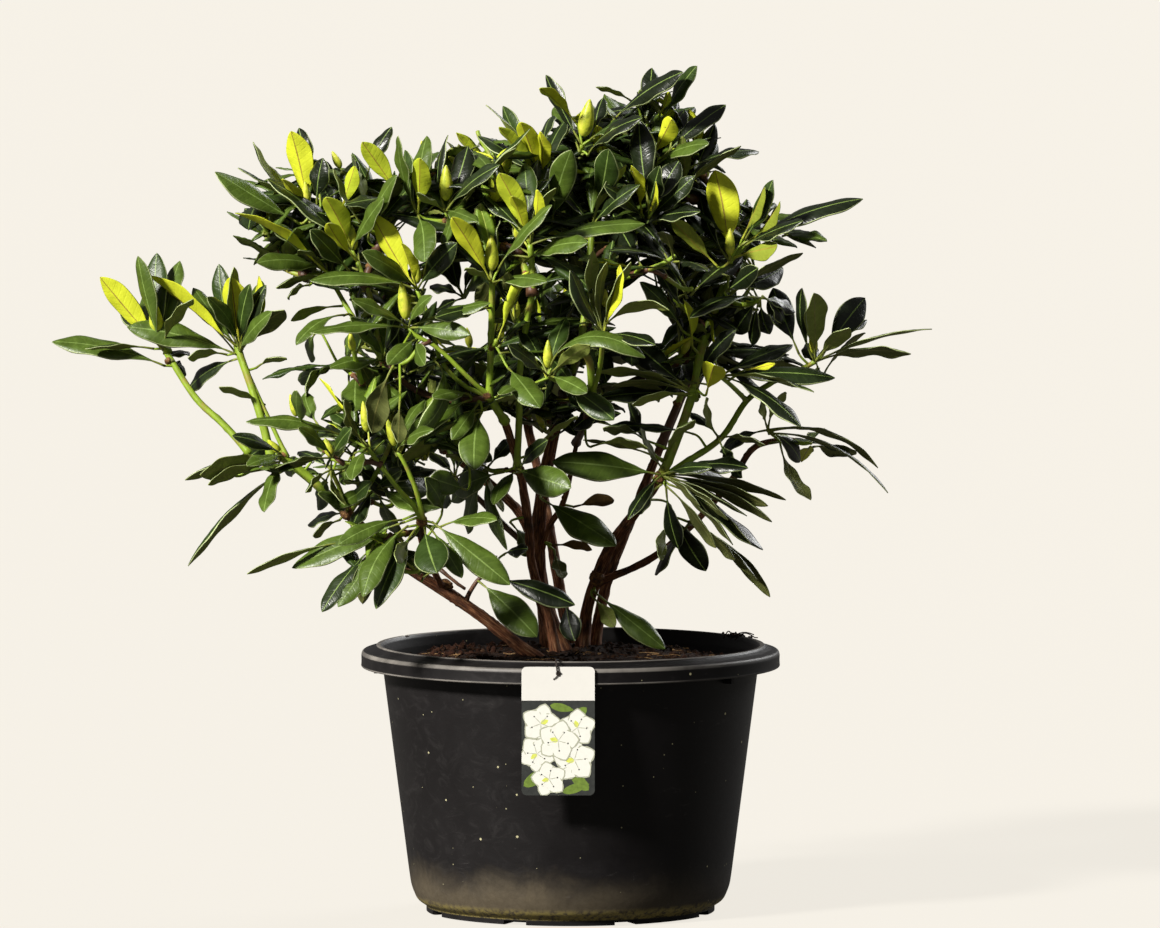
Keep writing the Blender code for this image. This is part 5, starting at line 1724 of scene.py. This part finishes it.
def clipped(outline, low_x, high_x, low_z, high_z):
    """The part of an outline inside a rectangle."""
    for axis, limit, sign in ((0, low_x, 1), (0, high_x, -1), (1, low_z, 1), (1, high_z, -1)):
        made = []
        for k in range(len(outline)):
            a, b = outline[k - 1], outline[k]
            ia, ib = sign * (a[axis] - limit) >= 0, sign * (b[axis] - limit) >= 0
            if ia != ib:
                t = (limit - a[axis]) / (b[axis] - a[axis])
                made.append((a[0] + t * (b[0] - a[0]), a[1] + t * (b[1] - a[1])))
            if ib:
                made.append(b)
        outline = made
        if len(outline) < 3:
            return []
    return outline


def slab(shape, outline, front, back, look, edge=None):
    """A flat closed plate between two depths, from its outline on the card."""
    if len(outline) < 3:
        return
    area = sum(a[0] * b[1] - b[0] * a[1] for a, b in zip(outline, outline[1:] + outline[:1]))
    if area < 0:
        outline = outline[::-1]
    n = len(outline)
    near = [label_point(x, z, front) for x, z in outline]
    far = [label_point(x, z, back) for x, z in outline]
    faces = tessellate_polygon([[Vector((x, z, 0)) for x, z in outline]])
    tris = []
    for a, b, c in faces:
        (ax, az), (bx, bz), (cx, cz) = outline[a], outline[b], outline[c]
        if (bx - ax) * (cz - az) - (bz - az) * (cx - ax) < 0:
            b, c = c, b
        # z runs down the card, so this order faces the front
        tris.append((a, c, b))
        tris.append((n + a, n + b, n + c))
    quads = [(k, (k + 1) % n, n + (k + 1) % n, n + k) for k in range(n)]
    shape.add(near + far, quads, tris, {4: look if edge is None else edge, 3: look})


def petal(cx, cz, way, length, wide, ruffle, seed):
    a = np.linspace(0, 1, 15)
    out = []
    half = wide / 2 * np.sin(np.pi * a**0.8)**0.75
    spots = np.random.default_rng(seed)
    jag = 1 + ruffle * np.sin(a * 19 + spots.uniform(0, 6))
    for sign in (1, -1):
        rows = zip(a, half * jag)
        rows = list(rows)[1:-1] if sign < 0 else list(rows)
        if sign < 0:
            rows = rows[::-1]
        for s, h in rows:
            x, z = s * length, sign * h
            out.append((cx + x * math.cos(way) - z * math.sin(way),
                        cz + x * math.sin(way) + z * math.cos(way)))
    return out


def make_label(looks):
    """The card with a plain head and a simple flower design below it."""
    card = Shape()
    front, back = LABEL_Y - LABEL_THICK / 2, LABEL_Y + LABEL_THICK / 2
    slab(card, card_outline(), front + 0.12, back, 0)
    made = card.object("card_base", looks, smooth=False)
    rod = bmesh.new()
    for v in bmesh.ops.create_cone(rod, cap_ends=True, segments=28, radius1=LABEL_HOLE * MM,
                                   radius2=LABEL_HOLE * MM, depth=8 * MM)["verts"]:
        x, y, z = v.co
        v.co = Vector((x, z, y)) + Vector((LABEL_X, LABEL_Y, LABEL_TOP - 7)) * MM
    cut(made, helper("hole", rod))

    art = Shape()
    w, h = LABEL_WIDTH / 2, LABEL_HEIGHT
    frame_box = (-w + 0.02, w - 0.02, HEADER, h - 0.02)
    outline = card_outline()
    level = front + 0.12
    picture = clipped(outline, -w, w, HEADER, h)
    slab(art, picture, level - 0.06, level - 0.01, 1)
    rng = np.random.default_rng(77)
    layer = level - 0.06

    def put(shape_outline, look, step=0.022):
        nonlocal layer
        part = clipped(list(map(tuple, shape_outline)), *frame_box)
        # keep clear of the two rounded corners at the foot
        part = [(x, z) if not (abs(x) > w - 5 and z > h - 5) else
                (math.copysign(min(abs(x), w - 5 + math.sqrt(max(0, 25 - (z - h + 5)**2))), x), z)
                for x, z in part]
        if len(part) > 2:
            slab(art, part, layer - step, layer + 0.004, look)
            layer -= step * 0.35

    for cx, cz, way, long, wide in ((-30, 44, 0.5, 24, 9), (28, 40, 2.4, 26, 10),
                                    (-34, 118, -0.6, 30, 12), (30, 122, 3.9, 26, 11),
                                    (4, 124, -0.3, 28, 9), (-8, 38, 0.2, 24, 8)):
        put(petal(cx, cz, way, long, wide, 0.02, 5), 2)
    blooms = [(-17, 56, 19), (19, 60, 18), (-21, 86, 18), (16, 92, 21), (-9, 111, 17),
              (0, 73, 20)]
    for k, (cx, cz, size) in enumerate(blooms):
        turn = rng.uniform(0, 6.28)
        for j in range(5):
            way = turn + j * 2 * math.pi / 5
            put(petal(cx + math.cos(way), cz + math.sin(way), way, size * 1.02, size * 1.0,
                      0.07, 10 * k + j + 300), 4, 0.014)
            put(petal(cx, cz, way, size, size * 0.94, 0.06, 10 * k + j), 3, 0.014)
        way = turn + math.pi / 5
        put(petal(cx, cz, way + 0.3, size * 0.42, size * 0.26, 0.05, 7), 5, 0.014)
        for j in range(5):
            way = turn + 0.5 + j * 1.2
            put(petal(cx, cz, way, size * 0.5, 0.7, 0.0, 8), 4, 0.012)
            put([(cx + size * 0.5 * math.cos(way) + 0.8 * math.cos(a),
                  cz + size * 0.5 * math.sin(way) + 0.8 * math.sin(a))
                 for a in np.linspace(0, 6.283, 9)[:-1]], 6, 0.012)
    line = [(-w, HEADER - 0.45), (w, HEADER - 0.45), (w, HEADER + 0.05), (-w, HEADER + 0.05)]
    slab(art, line, level - 0.10, level - 0.01, 6)
    picture = art.object("card_picture", looks, smooth=False)
    return made, picture


def make_tie(looks):
    shape = Shape()
    card = RIM_RADIUS + 0.4 + LABEL_THICK / 2
    hole = LABEL_TOP - 7
    path = [(-card + 0.2, hole), (-card - 0.9, hole + 0.3), (-card - 2.3, hole + 4.0),
            (-card - 1.8, hole + 9.0), (-card + 5, hole + 13.0), (-LIP_RADIUS - 2, POT_HEIGHT + 1.6),
            (-LIP_RADIUS + 5.5, POT_HEIGHT - 1), (-LIP_RADIUS + 8.5, POT_HEIGHT - 8)]
    path = catmull([(LABEL_X - 0.9 * k * (k < 5) * 0.6, y, z) for k, (y, z) in enumerate(path)], 1.0)

    def strands(points, run, around):
        return 0.14 * np.sin(2 * around + 1.4 * run)
    tube(shape, path, 0.8, 10, strands)
    turn = np.linspace(0, 2 * math.pi * 1.6, 30)
    knot = np.stack([LABEL_X + 0.2 + 1.7 * np.cos(turn), -card - 1.3 - 0.5 * np.sin(2 * turn),
                     hole + 0.6 + 1.7 * np.sin(turn)], -1)
    tube(shape, knot, 0.72, 8, strands)
    tail = catmull([(LABEL_X + 1.0, -card - 1.4, hole + 0.4), (LABEL_X - 1.6, -card - 1.3, hole - 2.6),
                    (LABEL_X - 4.6, -card - 1.0, hole - 5.4)], 1.0)
    tube(shape, tail, 0.42, 7, strands)
    return shape.object("card_string", looks)


# ================================================================ looks
def srgb(r, g, b):
    def one(c):
        c /= 255
        return c / 12.92 if c <= 0.04045 else ((c + 0.055) / 1.055)**2.4
    return (one(r), one(g), one(b), 1.0)


class Look:
    """A node material, built from a few steps."""

    def __init__(self, name, rough=0.5, specular=0.5):
        self.material = bpy.data.materials.new(name)
        self.material.use_nodes = True
        self.tree = self.material.node_tree
        self.shader = self.tree.nodes["Principled BSDF"]
        self.shader.inputs["Roughness"].default_value = rough
        self.shader.inputs["Specular IOR Level"].default_value = specular
        self.place = self.node("ShaderNodeTexCoord")
        self.object = self.place.outputs["Object"]

    def node(self, kind, **values):
        made = self.tree.nodes.new(kind)
        for key, value in values.items():
            setattr(made, key, value)
        return made

    def link(self, a, b):
        self.tree.links.new(a, b)

    def noise(self, scale, detail=3.0, rough=0.55, at=None, stretch=None, warp=0.0):
        made = self.node("ShaderNodeTexNoise")
        made.inputs["Scale"].default_value = scale
        made.inputs["Detail"].default_value = detail
        made.inputs["Roughness"].default_value = rough
        made.inputs["Distortion"].default_value = warp
        source = at or self.object
        if stretch:
            mapping = self.node("ShaderNodeMapping")
            mapping.inputs["Scale"].default_value = stretch
            self.link(source, mapping.inputs["Vector"])
            source = mapping.outputs["Vector"]
        self.link(source, made.inputs["Vector"])
        return made.outputs["Fac"]

    def cells(self, scale, feature="F1", at=None, output="Distance"):
        made = self.node("ShaderNodeTexVoronoi", feature=feature)
        made.inputs["Scale"].default_value = scale
        self.link(at or self.object, made.inputs["Vector"])
        return made.outputs[output]

    def ramp(self, value, stops, mode="LINEAR"):
        made = self.node("ShaderNodeValToRGB")
        made.color_ramp.interpolation = mode
        elements = made.color_ramp.elements
        while len(elements) < len(stops):
            elements.new(0.5)
        for element, (at, colour) in zip(elements, stops):
            element.position = at
            element.color = colour if len(colour) == 4 else (*colour, 1)
        self.link(value, made.inputs["Fac"])
        return made.outputs["Color"]

    def span(self, value, low, high, to_low=0.0, to_high=1.0, smooth=True):
        made = self.node("ShaderNodeMapRange")
        made.interpolation_type = "SMOOTHSTEP" if smooth else "LINEAR"
        for key, number in (("From Min", low), ("From Max", high), ("To Min", to_low),
                            ("To Max", to_high)):
            made.inputs[key].default_value = number
        self.link(value, made.inputs["Value"])
        return made.outputs["Result"]

    def math(self, how, a, b=None, third=None):
        made = self.node("ShaderNodeMath", operation=how)
        for k, value in enumerate((a, b, third)):
            if value is None:
                continue
            if isinstance(value, (int, float)):
                made.inputs[k].default_value = value
            else:
                self.link(value, made.inputs[k])
        return made.outputs["Value"]

    def mix(self, share, a, b, how="MIX"):
        made = self.node("ShaderNodeMix", data_type="RGBA", blend_type=how)
        for key, value in ((0, share), (6, a), (7, b)):
            if isinstance(value, (int, float)):
                made.inputs[key].default_value = value
            elif isinstance(value, tuple):
                made.inputs[key].default_value = value
            else:
                self.link(value, made.inputs[key])
        return made.outputs[2]

    def axes(self, source=None):
        made = self.node("ShaderNodeSeparateXYZ")
        self.link(source or self.object, made.inputs["Vector"])
        return made.outputs["X"], made.outputs["Y"], made.outputs["Z"]

    def flat(self):
        made = self.node("ShaderNodeUVMap", uv_map="flat")
        return made.outputs["UV"]

    def colour(self, source):
        self.link(source, self.shader.inputs["Base Color"])

    def rough(self, source):
        self.link(source, self.shader.inputs["Roughness"])

    def bump(self, height, distance, strength=1.0):
        made = self.node("ShaderNodeBump")
        made.inputs["Distance"].default_value = distance
        made.inputs["Strength"].default_value = strength
        self.link(height, made.inputs["Height"])
        self.link(made.outputs["Normal"], self.shader.inputs["Normal"])


def shade_of(colour, by):
    return tuple(c * by for c in colour[:3]) + (1.0,)


def leaf_look(name, colour, rough, specular, vein=0.18, vein_colour=None, mottle=0.30,
              coat=0.0):
    look = Look(name, rough, specular)
    noise = look.noise(85, 3, 0.6)
    body = look.ramp(noise, [(0.30, shade_of(colour, 1 - mottle)),
                             (0.52, colour), (0.74, shade_of(colour, 1 + mottle))])
    fine = look.noise(420, 2, 0.6)
    if vein:
        _, v, _ = look.axes(look.flat())
        wave = look.math("ABSOLUTE", look.math("SUBTRACT", look.math("FRACT", v), 0.5))
        line = look.span(wave, 0.34, 0.5)
        share = look.math("MULTIPLY", line, vein)
        body = look.mix(share, body, vein_colour or shade_of(colour, 1.6))
        height = look.math("SUBTRACT", look.math("MULTIPLY", fine, 0.5),
                                          look.math("MULTIPLY", line, 0.14))
    else:
        height = fine
    look.colour(body)
    look.rough(look.span(noise, 0.3, 0.75, rough - 0.05, rough + 0.10, False))
    look.bump(height, 0.0008, 0.7)
    if coat:
        look.shader.inputs["Coat Weight"].default_value = coat
        look.shader.inputs["Coat Roughness"].default_value = 0.22
    return look.material


def leaf_looks():
    made = {
        "upper_dark_a": leaf_look("leaf_upper_dark_a", srgb(32, 44, 17), 0.31, 0.55, 0.10,
                                  srgb(66, 86, 36)),
        "upper_dark_b": leaf_look("leaf_upper_dark_b", srgb(43, 61, 18), 0.38, 0.42, 0.10,
                                  srgb(80, 100, 42)),
        "upper_shade": leaf_look("leaf_upper_shade", srgb(21, 29, 12), 0.31, 0.5, 0.10,
                                 srgb(54, 64, 36)),
        "upper_mid": leaf_look("leaf_upper_mid", srgb(71, 91, 28), 0.38, 0.42, 0.12,
                               srgb(112, 128, 58)),
        "upper_fresh": leaf_look("leaf_upper_fresh", srgb(104, 130, 36), 0.42, 0.42, 0.2,
                                 srgb(150, 176, 70)),
        "under_fresh_a": leaf_look("leaf_under_fresh_a", srgb(203, 210, 47), 0.55, 0.3, 0.12,
                                   srgb(182, 186, 38), 0.12),
        "under_fresh_b": leaf_look("leaf_under_fresh_b", srgb(182, 196, 47), 0.55, 0.3, 0.12,
                                   srgb(158, 168, 40), 0.14),
        "under_fresh_c": leaf_look("leaf_under_fresh_c", srgb(134, 146, 46), 0.55, 0.3, 0.14,
                                   srgb(112, 124, 40), 0.16),
        "under_mid": leaf_look("leaf_under_mid", srgb(132, 144, 66), 0.58, 0.28, 0.25,
                               srgb(160, 168, 92), 0.16),
        "under_olive": leaf_look("leaf_under_olive", srgb(98, 104, 54), 0.6, 0.25, 0.25,
                                 srgb(128, 132, 76), 0.2),
        "rib_dark": leaf_look("leaf_rib_dark", srgb(112, 134, 66), 0.4, 0.45, 0),
        "rib_fresh": leaf_look("leaf_rib_fresh", srgb(176, 192, 92), 0.45, 0.4, 0),
        # darker brown keel under young leaves: a painted shadow along the raised midrib
        "keel_shade_fresh": leaf_look("leaf_keel_shade_fresh", srgb(150, 128, 48), 0.5, 0.35, 0),
        "keel_olive": leaf_look("leaf_keel_olive", srgb(136, 134, 74), 0.5, 0.35, 0),
        # the edge look is a pale painted highlight along the leaf margins
        "edge": leaf_look("leaf_edge_highlight", srgb(160, 172, 118), 0.4, 0.5, 0),
        "stalk": leaf_look("leaf_stalk", srgb(120, 128, 52), 0.48, 0.4, 0),
        "stalk_fresh": leaf_look("leaf_stalk_fresh", srgb(170, 176, 62), 0.48, 0.4, 0),
        "dry": leaf_look("leaf_dry", srgb(112, 88, 52), 0.8, 0.2, 0.3, srgb(70, 54, 32), 0.4),
    }
    return [made[name] for name in LEAF_LOOKS]


def bark_look():
    look = Look("bark", 0.78, 0.25)
    uv = look.flat()
    strands = look.noise(1.0, 5, 0.65, uv, (26, 6, 1))
    patches = look.noise(30, 3, 0.6)
    colour = look.ramp(strands, [(0.30, srgb(38, 25, 19)), (0.44, srgb(92, 56, 38)),
                                 (0.56, srgb(136, 88, 58)), (0.70, srgb(178, 142, 106))])
    dark = look.ramp(strands, [(0.32, srgb(28, 20, 16)), (0.55, srgb(64, 44, 33)),
                               (0.74, srgb(120, 98, 76))])
    body = look.mix(look.span(patches, 0.5, 0.72), colour, dark)
    look.colour(body)
    look.rough(look.span(strands, 0.3, 0.7, 0.9, 0.66, False))
    height = look.math("ADD", look.math("MULTIPLY", strands, 1.0),
                       look.math("MULTIPLY", look.noise(900, 2, 0.6), 0.35))
    look.bump(height, 0.0011, 0.8)
    return look.material


def shoot_look(name, colour, second):
    look = Look(name, 0.48, 0.42)
    uv = look.flat()
    strands = look.noise(1.0, 3, 0.6, uv, (7, 8, 1))
    patches = look.noise(60, 3, 0.6)
    body = look.ramp(strands, [(0.32, shade_of(colour, 0.72)), (0.55, colour),
                               (0.75, shade_of(colour, 1.25))])
    body = look.mix(look.span(patches, 0.5, 0.72), body, second)
    look.colour(body)
    look.bump(look.math("ADD", strands, look.math("MULTIPLY", look.noise(700, 2), 0.4)), 0.0005, 0.6)
    return look.material


def plain_look(name, colour, rough, specular=0.4, mottle=0.25, scale=120, bump=0.0004):
    look = Look(name, rough, specular)
    noise = look.noise(scale, 4, 0.6)
    look.colour(look.ramp(noise, [(0.28, shade_of(colour, 1 - mottle)), (0.5, colour),
                                  (0.74, shade_of(colour, 1 + mottle))]))
    look.rough(look.span(noise, 0.3, 0.7, rough + 0.06, rough - 0.06, False))
    look.bump(look.noise(scale * 5, 3, 0.6), bump, 0.6)
    return look.material


def pot_look():
    look = Look("pot_plastic", 0.44, 0.2)
    x, y, z = look.axes()
    cloud = look.noise(16, 5, 0.6, warp=0.6)
    scratch = look.noise(26, 6, 0.7, None, (1.0, 1.0, 3.2), warp=1.8)
    fine = look.noise(190, 4, 0.65)
    base = look.ramp(cloud, [(0.35, srgb(9, 7, 8)), (0.6, srgb(14, 12, 13)),
                             (0.8, srgb(24, 22, 23))])
    scuffs = look.math("MULTIPLY", look.span(scratch, 0.60, 0.78), look.span(cloud, 0.42, 0.66))
    # a pale mottled haze on the wall, strongest towards the left: partly scuffed haze, partly a painted sheen where the
    # lamp falls
    hazy = look.noise(34, 6, 0.68, None, (1.0, 1.0, 1.5), warp=1.6)
    left = look.span(x, 0.12, -0.10)
    haze_and_left_sheen = look.math("MULTIPLY", look.math("ADD", look.span(hazy, 0.46, 0.86), 0.42),
                      look.math("MULTIPLY", left, 0.115))
    body = look.mix(look.math("MULTIPLY", scuffs, 0.7), base, srgb(70, 67, 66))
    body = look.mix(haze_and_left_sheen, body, srgb(98, 95, 94))
    # dust on the foot, deeper at the front left, and a line of old soil at the bottom
    edge = look.math("ADD", z, look.math("MULTIPLY", look.math("SUBTRACT", cloud, 0.5), 0.060))
    low = look.math("MULTIPLY", look.span(edge, 0.064, 0.014), look.span(z, 0.0046, 0.0076))
    around = look.span(look.math("ADD", look.math("MULTIPLY", x, 1.0), look.math("MULTIPLY", y, 0.35)),
                       0.16, -0.12)
    dust = look.math("MULTIPLY", low, look.math("ADD", look.math("MULTIPLY", around, 0.30), 0.10))
    body = look.mix(dust, body, look.ramp(fine, [(0.25, srgb(116, 104, 82)), (0.75, srgb(138, 125, 102))]))
    bottom = look.math("MULTIPLY", look.span(z, 0.0190, 0.0115), look.span(z, 0.0048, 0.0066))
    bottom = look.math("MULTIPLY", bottom, look.span(fine, 0.34, 0.6))
    body = look.mix(look.math("MULTIPLY", bottom, 0.75), body, srgb(150, 136, 74))
    # pale lines along the band's edges, partly real wear and partly a painted highlight: brightest on the top shoulder,
    # fading towards the right, away from the lamp
    radius = look.math("SQRT", look.math("ADD", look.math("MULTIPLY", x, x), look.math("MULTIPLY", y, y)))
    outer = look.span(radius, 0.2065, 0.2078)
    top = look.math("MULTIPLY", look.span(z, 0.2577, 0.2590), look.span(z, 0.2632, 0.2612))
    foot = look.math("MULTIPLY", look.span(z, 0.2484, 0.2474), look.span(radius, 0.2074, 0.2088))
    lip = look.math("MULTIPLY", look.span(z, 0.2668, 0.2677), look.span(radius, 0.2000, 0.1975))
    wear_and_highlight = look.math("MAXIMUM", look.math("MAXIMUM", look.math("MULTIPLY", top, outer), foot), lip)
    wear_and_highlight = look.math("MULTIPLY", wear_and_highlight, look.span(x, -0.02, 0.17, 1.0, 0.22))
    wear_and_highlight = look.math("MULTIPLY", wear_and_highlight, look.span(look.noise(22, 4, 0.6), 0.3, 0.7, 0.30, 0.75))
    body = look.mix(look.math("MULTIPLY", wear_and_highlight, 0.75), body, srgb(170, 164, 156))
    # small light specks
    dots = look.cells(58)
    chosen = look.cells(58, output="Color")
    red = look.node("ShaderNodeSeparateColor")
    look.link(chosen, red.inputs["Color"])
    speck = look.math("MULTIPLY", look.span(dots, 0.085, 0.06), look.span(red.outputs["Red"], 0.80, 0.84))
    small = look.cells(96)
    tint = look.node("ShaderNodeSeparateColor")
    look.link(look.cells(96, output="Color"), tint.inputs["Color"])
    small = look.math("MULTIPLY", look.span(small, 0.085, 0.06), look.span(tint.outputs["Red"], 0.74, 0.78))
    speck = look.math("MAXIMUM", speck, look.math("MULTIPLY", small, 0.6))
    body = look.mix(look.math("MULTIPLY", speck, 0.8), body, srgb(196, 190, 150))
    look.colour(body)
    look.rough(look.math("ADD", look.span(cloud, 0.3, 0.75, 0.40, 0.50, False),
                         look.math("MULTIPLY", dust, 0.35)))
    height = look.math("ADD", look.math("MULTIPLY", fine, 0.4), look.math("MULTIPLY", scratch, 0.6))
    look.bump(height, 0.00035, 0.5)
    return look.material


def peat_look(name, dark, mid, light):
    look = Look(name, 0.95, 0.12)
    coarse = look.noise(150, 6, 0.7)
    look.colour(look.ramp(coarse, [(0.34, dark), (0.52, mid), (0.72, light)]))
    look.bump(look.math("ADD", coarse, look.noise(700, 3, 0.7)), 0.0022, 1.0)
    return look.material


def knob_look():
    look = Look("knob_bark", 0.72, 0.3)
    coarse = look.noise(260, 5, 0.65)
    look.colour(look.ramp(coarse, [(0.32, srgb(58, 38, 24)), (0.5, srgb(112, 76, 44)),
                                   (0.70, srgb(166, 128, 78))]))
    look.bump(coarse, 0.0014, 0.9)
    return look.material


def bud_look():
    look = Look("bud_scales", 0.42, 0.45)
    noise = look.noise(150, 4, 0.6)
    look.colour(look.ramp(noise, [(0.32, srgb(140, 152, 44)), (0.52, srgb(194, 202, 58)),
                                  (0.72, srgb(214, 206, 84))]))
    look.bump(look.noise(500, 3), 0.0005, 0.6)
    return look.material


# ================================================================ pieces
LEAF_SET = leaf_looks()
GROUPS = {
    "foliage_far_left": ("leaves_far_left", "leaves_lower_left", "leaves_left_core",
                         "leaves_low_front"),
    "foliage_upper_left": ("leaves_upper_left", "leaves_mid_left"),
    "foliage_top_left": ("leaves_top_left", "leaves_front"),
    "foliage_front": ("leaves_core", "leaves_front_right", "leaves_centre_low",
                      "leaves_low_spray"),
    "foliage_top": ("leaves_top", "leaves_mid_right"),
    "foliage_right": ("leaves_upper_right", "leaves_far_right", "leaves_right_low",
                      "leaves_low_right"),
    "foliage_rear_left": ("leaves_back_left", "leaves_back_low_left"),
    "foliage_rear_top": ("leaves_back_top", "leaves_back"),
    "foliage_rear_right": ("leaves_back_right", "leaves_back_low_right"),
}
for name, masses in GROUPS.items():
    shape = Shape()
    for mass in masses:
        add_leaves(shape, LEAVES["fine"][mass], FINE)
        add_leaves(shape, LEAVES["plain"][mass], PLAIN)
    if not shape.count:
        raise SystemExit(f"{name} holds no leaves")
    piece = shape.object(name, LEAF_SET)
    print(name, shape.triangles())
    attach(piece, "root")
    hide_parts(*masses)

BARK = bark_look()
GREEN_LOOK = shoot_look("green_shoot", srgb(138, 164, 46), srgb(150, 142, 62))
BROWN_LOOK = shoot_look("brown_twig", srgb(92, 62, 42), srgb(66, 46, 34))
piece = bark.object("bark_limbs", [BARK])
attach(piece, "root")
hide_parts(*[name for name in LIMBS if name not in GREEN])
piece = young.object("green_boughs", [GREEN_LOOK])
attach(piece, "root")
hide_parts(*GREEN)
for shape, name, look, slot in ((green, "green_shoots", GREEN_LOOK, "green_shoot"),
                                (brown, "brown_twigs", BROWN_LOOK, "bark"),
                                (knobs, "joint_knobs", knob_look(), "bark"),
                                (buds, "shoot_buds", bud_look(), "leaves")):
    print(name, shape.triangles())
    piece = shape.object(name, [look])
    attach(piece, "root")

piece = make_pot([pot_look()])
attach(piece, "root")
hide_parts("pot")
PEAT_DARK = peat_look("peat", srgb(18, 12, 9), srgb(38, 25, 18), srgb(78, 53, 37))
piece = make_peat([PEAT_DARK])
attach(piece, "root")
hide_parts("soil")
piece = crumbs_shape().object("peat_crumbs", [
    PEAT_DARK, peat_look("peat_red", srgb(31, 18, 13), srgb(56, 34, 24), srgb(92, 62, 43)),
    peat_look("peat_brown", srgb(26, 17, 12), srgb(48, 32, 22), srgb(80, 58, 40)),
    peat_look("fibre", srgb(96, 70, 46), srgb(142, 110, 74), srgb(178, 148, 108))])
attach(piece, "root")

CARD = [plain_look("card_white", srgb(216, 214, 208), 0.36, 0.45, 0.02, 90, 0.00008),
        plain_look("card_ground", srgb(50, 52, 50), 0.36, 0.45, 0.3, 220, 0.00005),
        plain_look("card_green", srgb(104, 126, 52), 0.36, 0.45, 0.25, 300, 0.00005),
        plain_look("card_petal", srgb(222, 222, 213), 0.36, 0.45, 0.03, 200, 0.00005),
        plain_look("card_petal_shade", srgb(168, 170, 150), 0.36, 0.45, 0.05, 200, 0.00005),
        plain_look("card_centre", srgb(206, 212, 96), 0.36, 0.45, 0.15, 300, 0.00005),
        plain_look("card_ink", srgb(44, 42, 42), 0.4, 0.4, 0.1, 300, 0.00005)]
card, picture = make_label(CARD)
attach(card, "root")
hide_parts("label")
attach(picture, "root")
piece = make_tie([plain_look("string", srgb(46, 38, 34), 0.7, 0.3, 0.3, 400, 0.0002)])
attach(piece, "root")
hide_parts("label_tie")


# ================================================================ floor, light, camera
def make_stage():
    look = Look("studio_floor", 0.9, 0.1)
    noise = look.noise(0.8, 2, 0.5)
    pale = (0.060, 0.057, 0.052, 1.0)
    look.colour(look.ramp(noise, [(0.3, shade_of(pale, 0.995)), (0.7, shade_of(pale, 1.005))]))
    look.shader.inputs["Emission Color"].default_value = (0.888, 0.847, 0.768, 1.0)
    seen_by = look.node("ShaderNodeLightPath")
    look.link(look.span(seen_by.outputs["Is Camera Ray"], 0, 1, 0.06, 0.915, False),
              look.shader.inputs["Emission Strength"])
    bm = bmesh.new()
    bmesh.ops.create_circle(bm, cap_ends=True, segments=96, radius=60.0)
    mesh = bpy.data.meshes.new("studio_floor")
    bm.to_mesh(mesh)
    bm.free()
    floor = bpy.data.objects.new("studio_floor", mesh)
    floor.location = (0, 0, -0.0004)
    mesh.materials.append(look.material)
    bpy.context.scene.collection.objects.link(floor)

    world = bpy.data.worlds.new("studio")
    bpy.context.scene.world = world
    world.use_nodes = True
    tree = world.node_tree
    back = tree.nodes["Background"]
    back.inputs["Color"].default_value = (1.0, 0.985, 0.96, 1.0)
    back.inputs["Strength"].default_value = 0.13
    plain = tree.nodes.new("ShaderNodeBackground")
    plain.inputs["Color"].default_value = (0.888, 0.847, 0.768, 1.0)
    plain.inputs["Strength"].default_value = 1.0
    path = tree.nodes.new("ShaderNodeLightPath")
    mixed = tree.nodes.new("ShaderNodeMixShader")
    tree.links.new(path.outputs["Is Camera Ray"], mixed.inputs[0])
    tree.links.new(back.outputs[0], mixed.inputs[1])
    tree.links.new(plain.outputs[0], mixed.inputs[2])
    tree.links.new(mixed.outputs[0], tree.nodes["World Output"].inputs["Surface"])

    sun = bpy.data.lights.new("key", "SUN")
    sun.energy = 6.9
    sun.angle = math.radians(8)
    sun.color = (1.0, 0.97, 0.92)
    key = bpy.data.objects.new("key", sun)
    towards = Vector((-0.68, -0.64, 0.58)).normalized()
    key.rotation_euler = towards.to_track_quat("Z", "Y").to_euler()
    key.location = towards * 3
    bpy.context.scene.collection.objects.link(key)

    soft = bpy.data.lights.new("rear", "SUN")
    soft.energy = 1.7
    soft.angle = math.radians(30)
    rear = bpy.data.objects.new("rear", soft)
    towards = Vector((0.62, 0.72, 0.50)).normalized()
    rear.rotation_euler = towards.to_track_quat("Z", "Y").to_euler()
    rear.location = towards * 3
    bpy.context.scene.collection.objects.link(rear)

    camera = bpy.data.cameras.new("camera")
    camera.sensor_width = 36.0
    camera.lens = FOCAL * 36.0 / FRAME_WIDE
    camera.clip_start, camera.clip_end = 1.0, 200.0
    eye = bpy.data.objects.new("camera", camera)
    eye.location = Vector(EYE * MM)
    eye.rotation_euler = (math.pi / 2 - TILT, 0, 0)
    bpy.context.scene.collection.objects.link(eye)
    bpy.context.scene.camera = eye
    bpy.context.scene.view_settings.view_transform = "Standard"


make_stage()
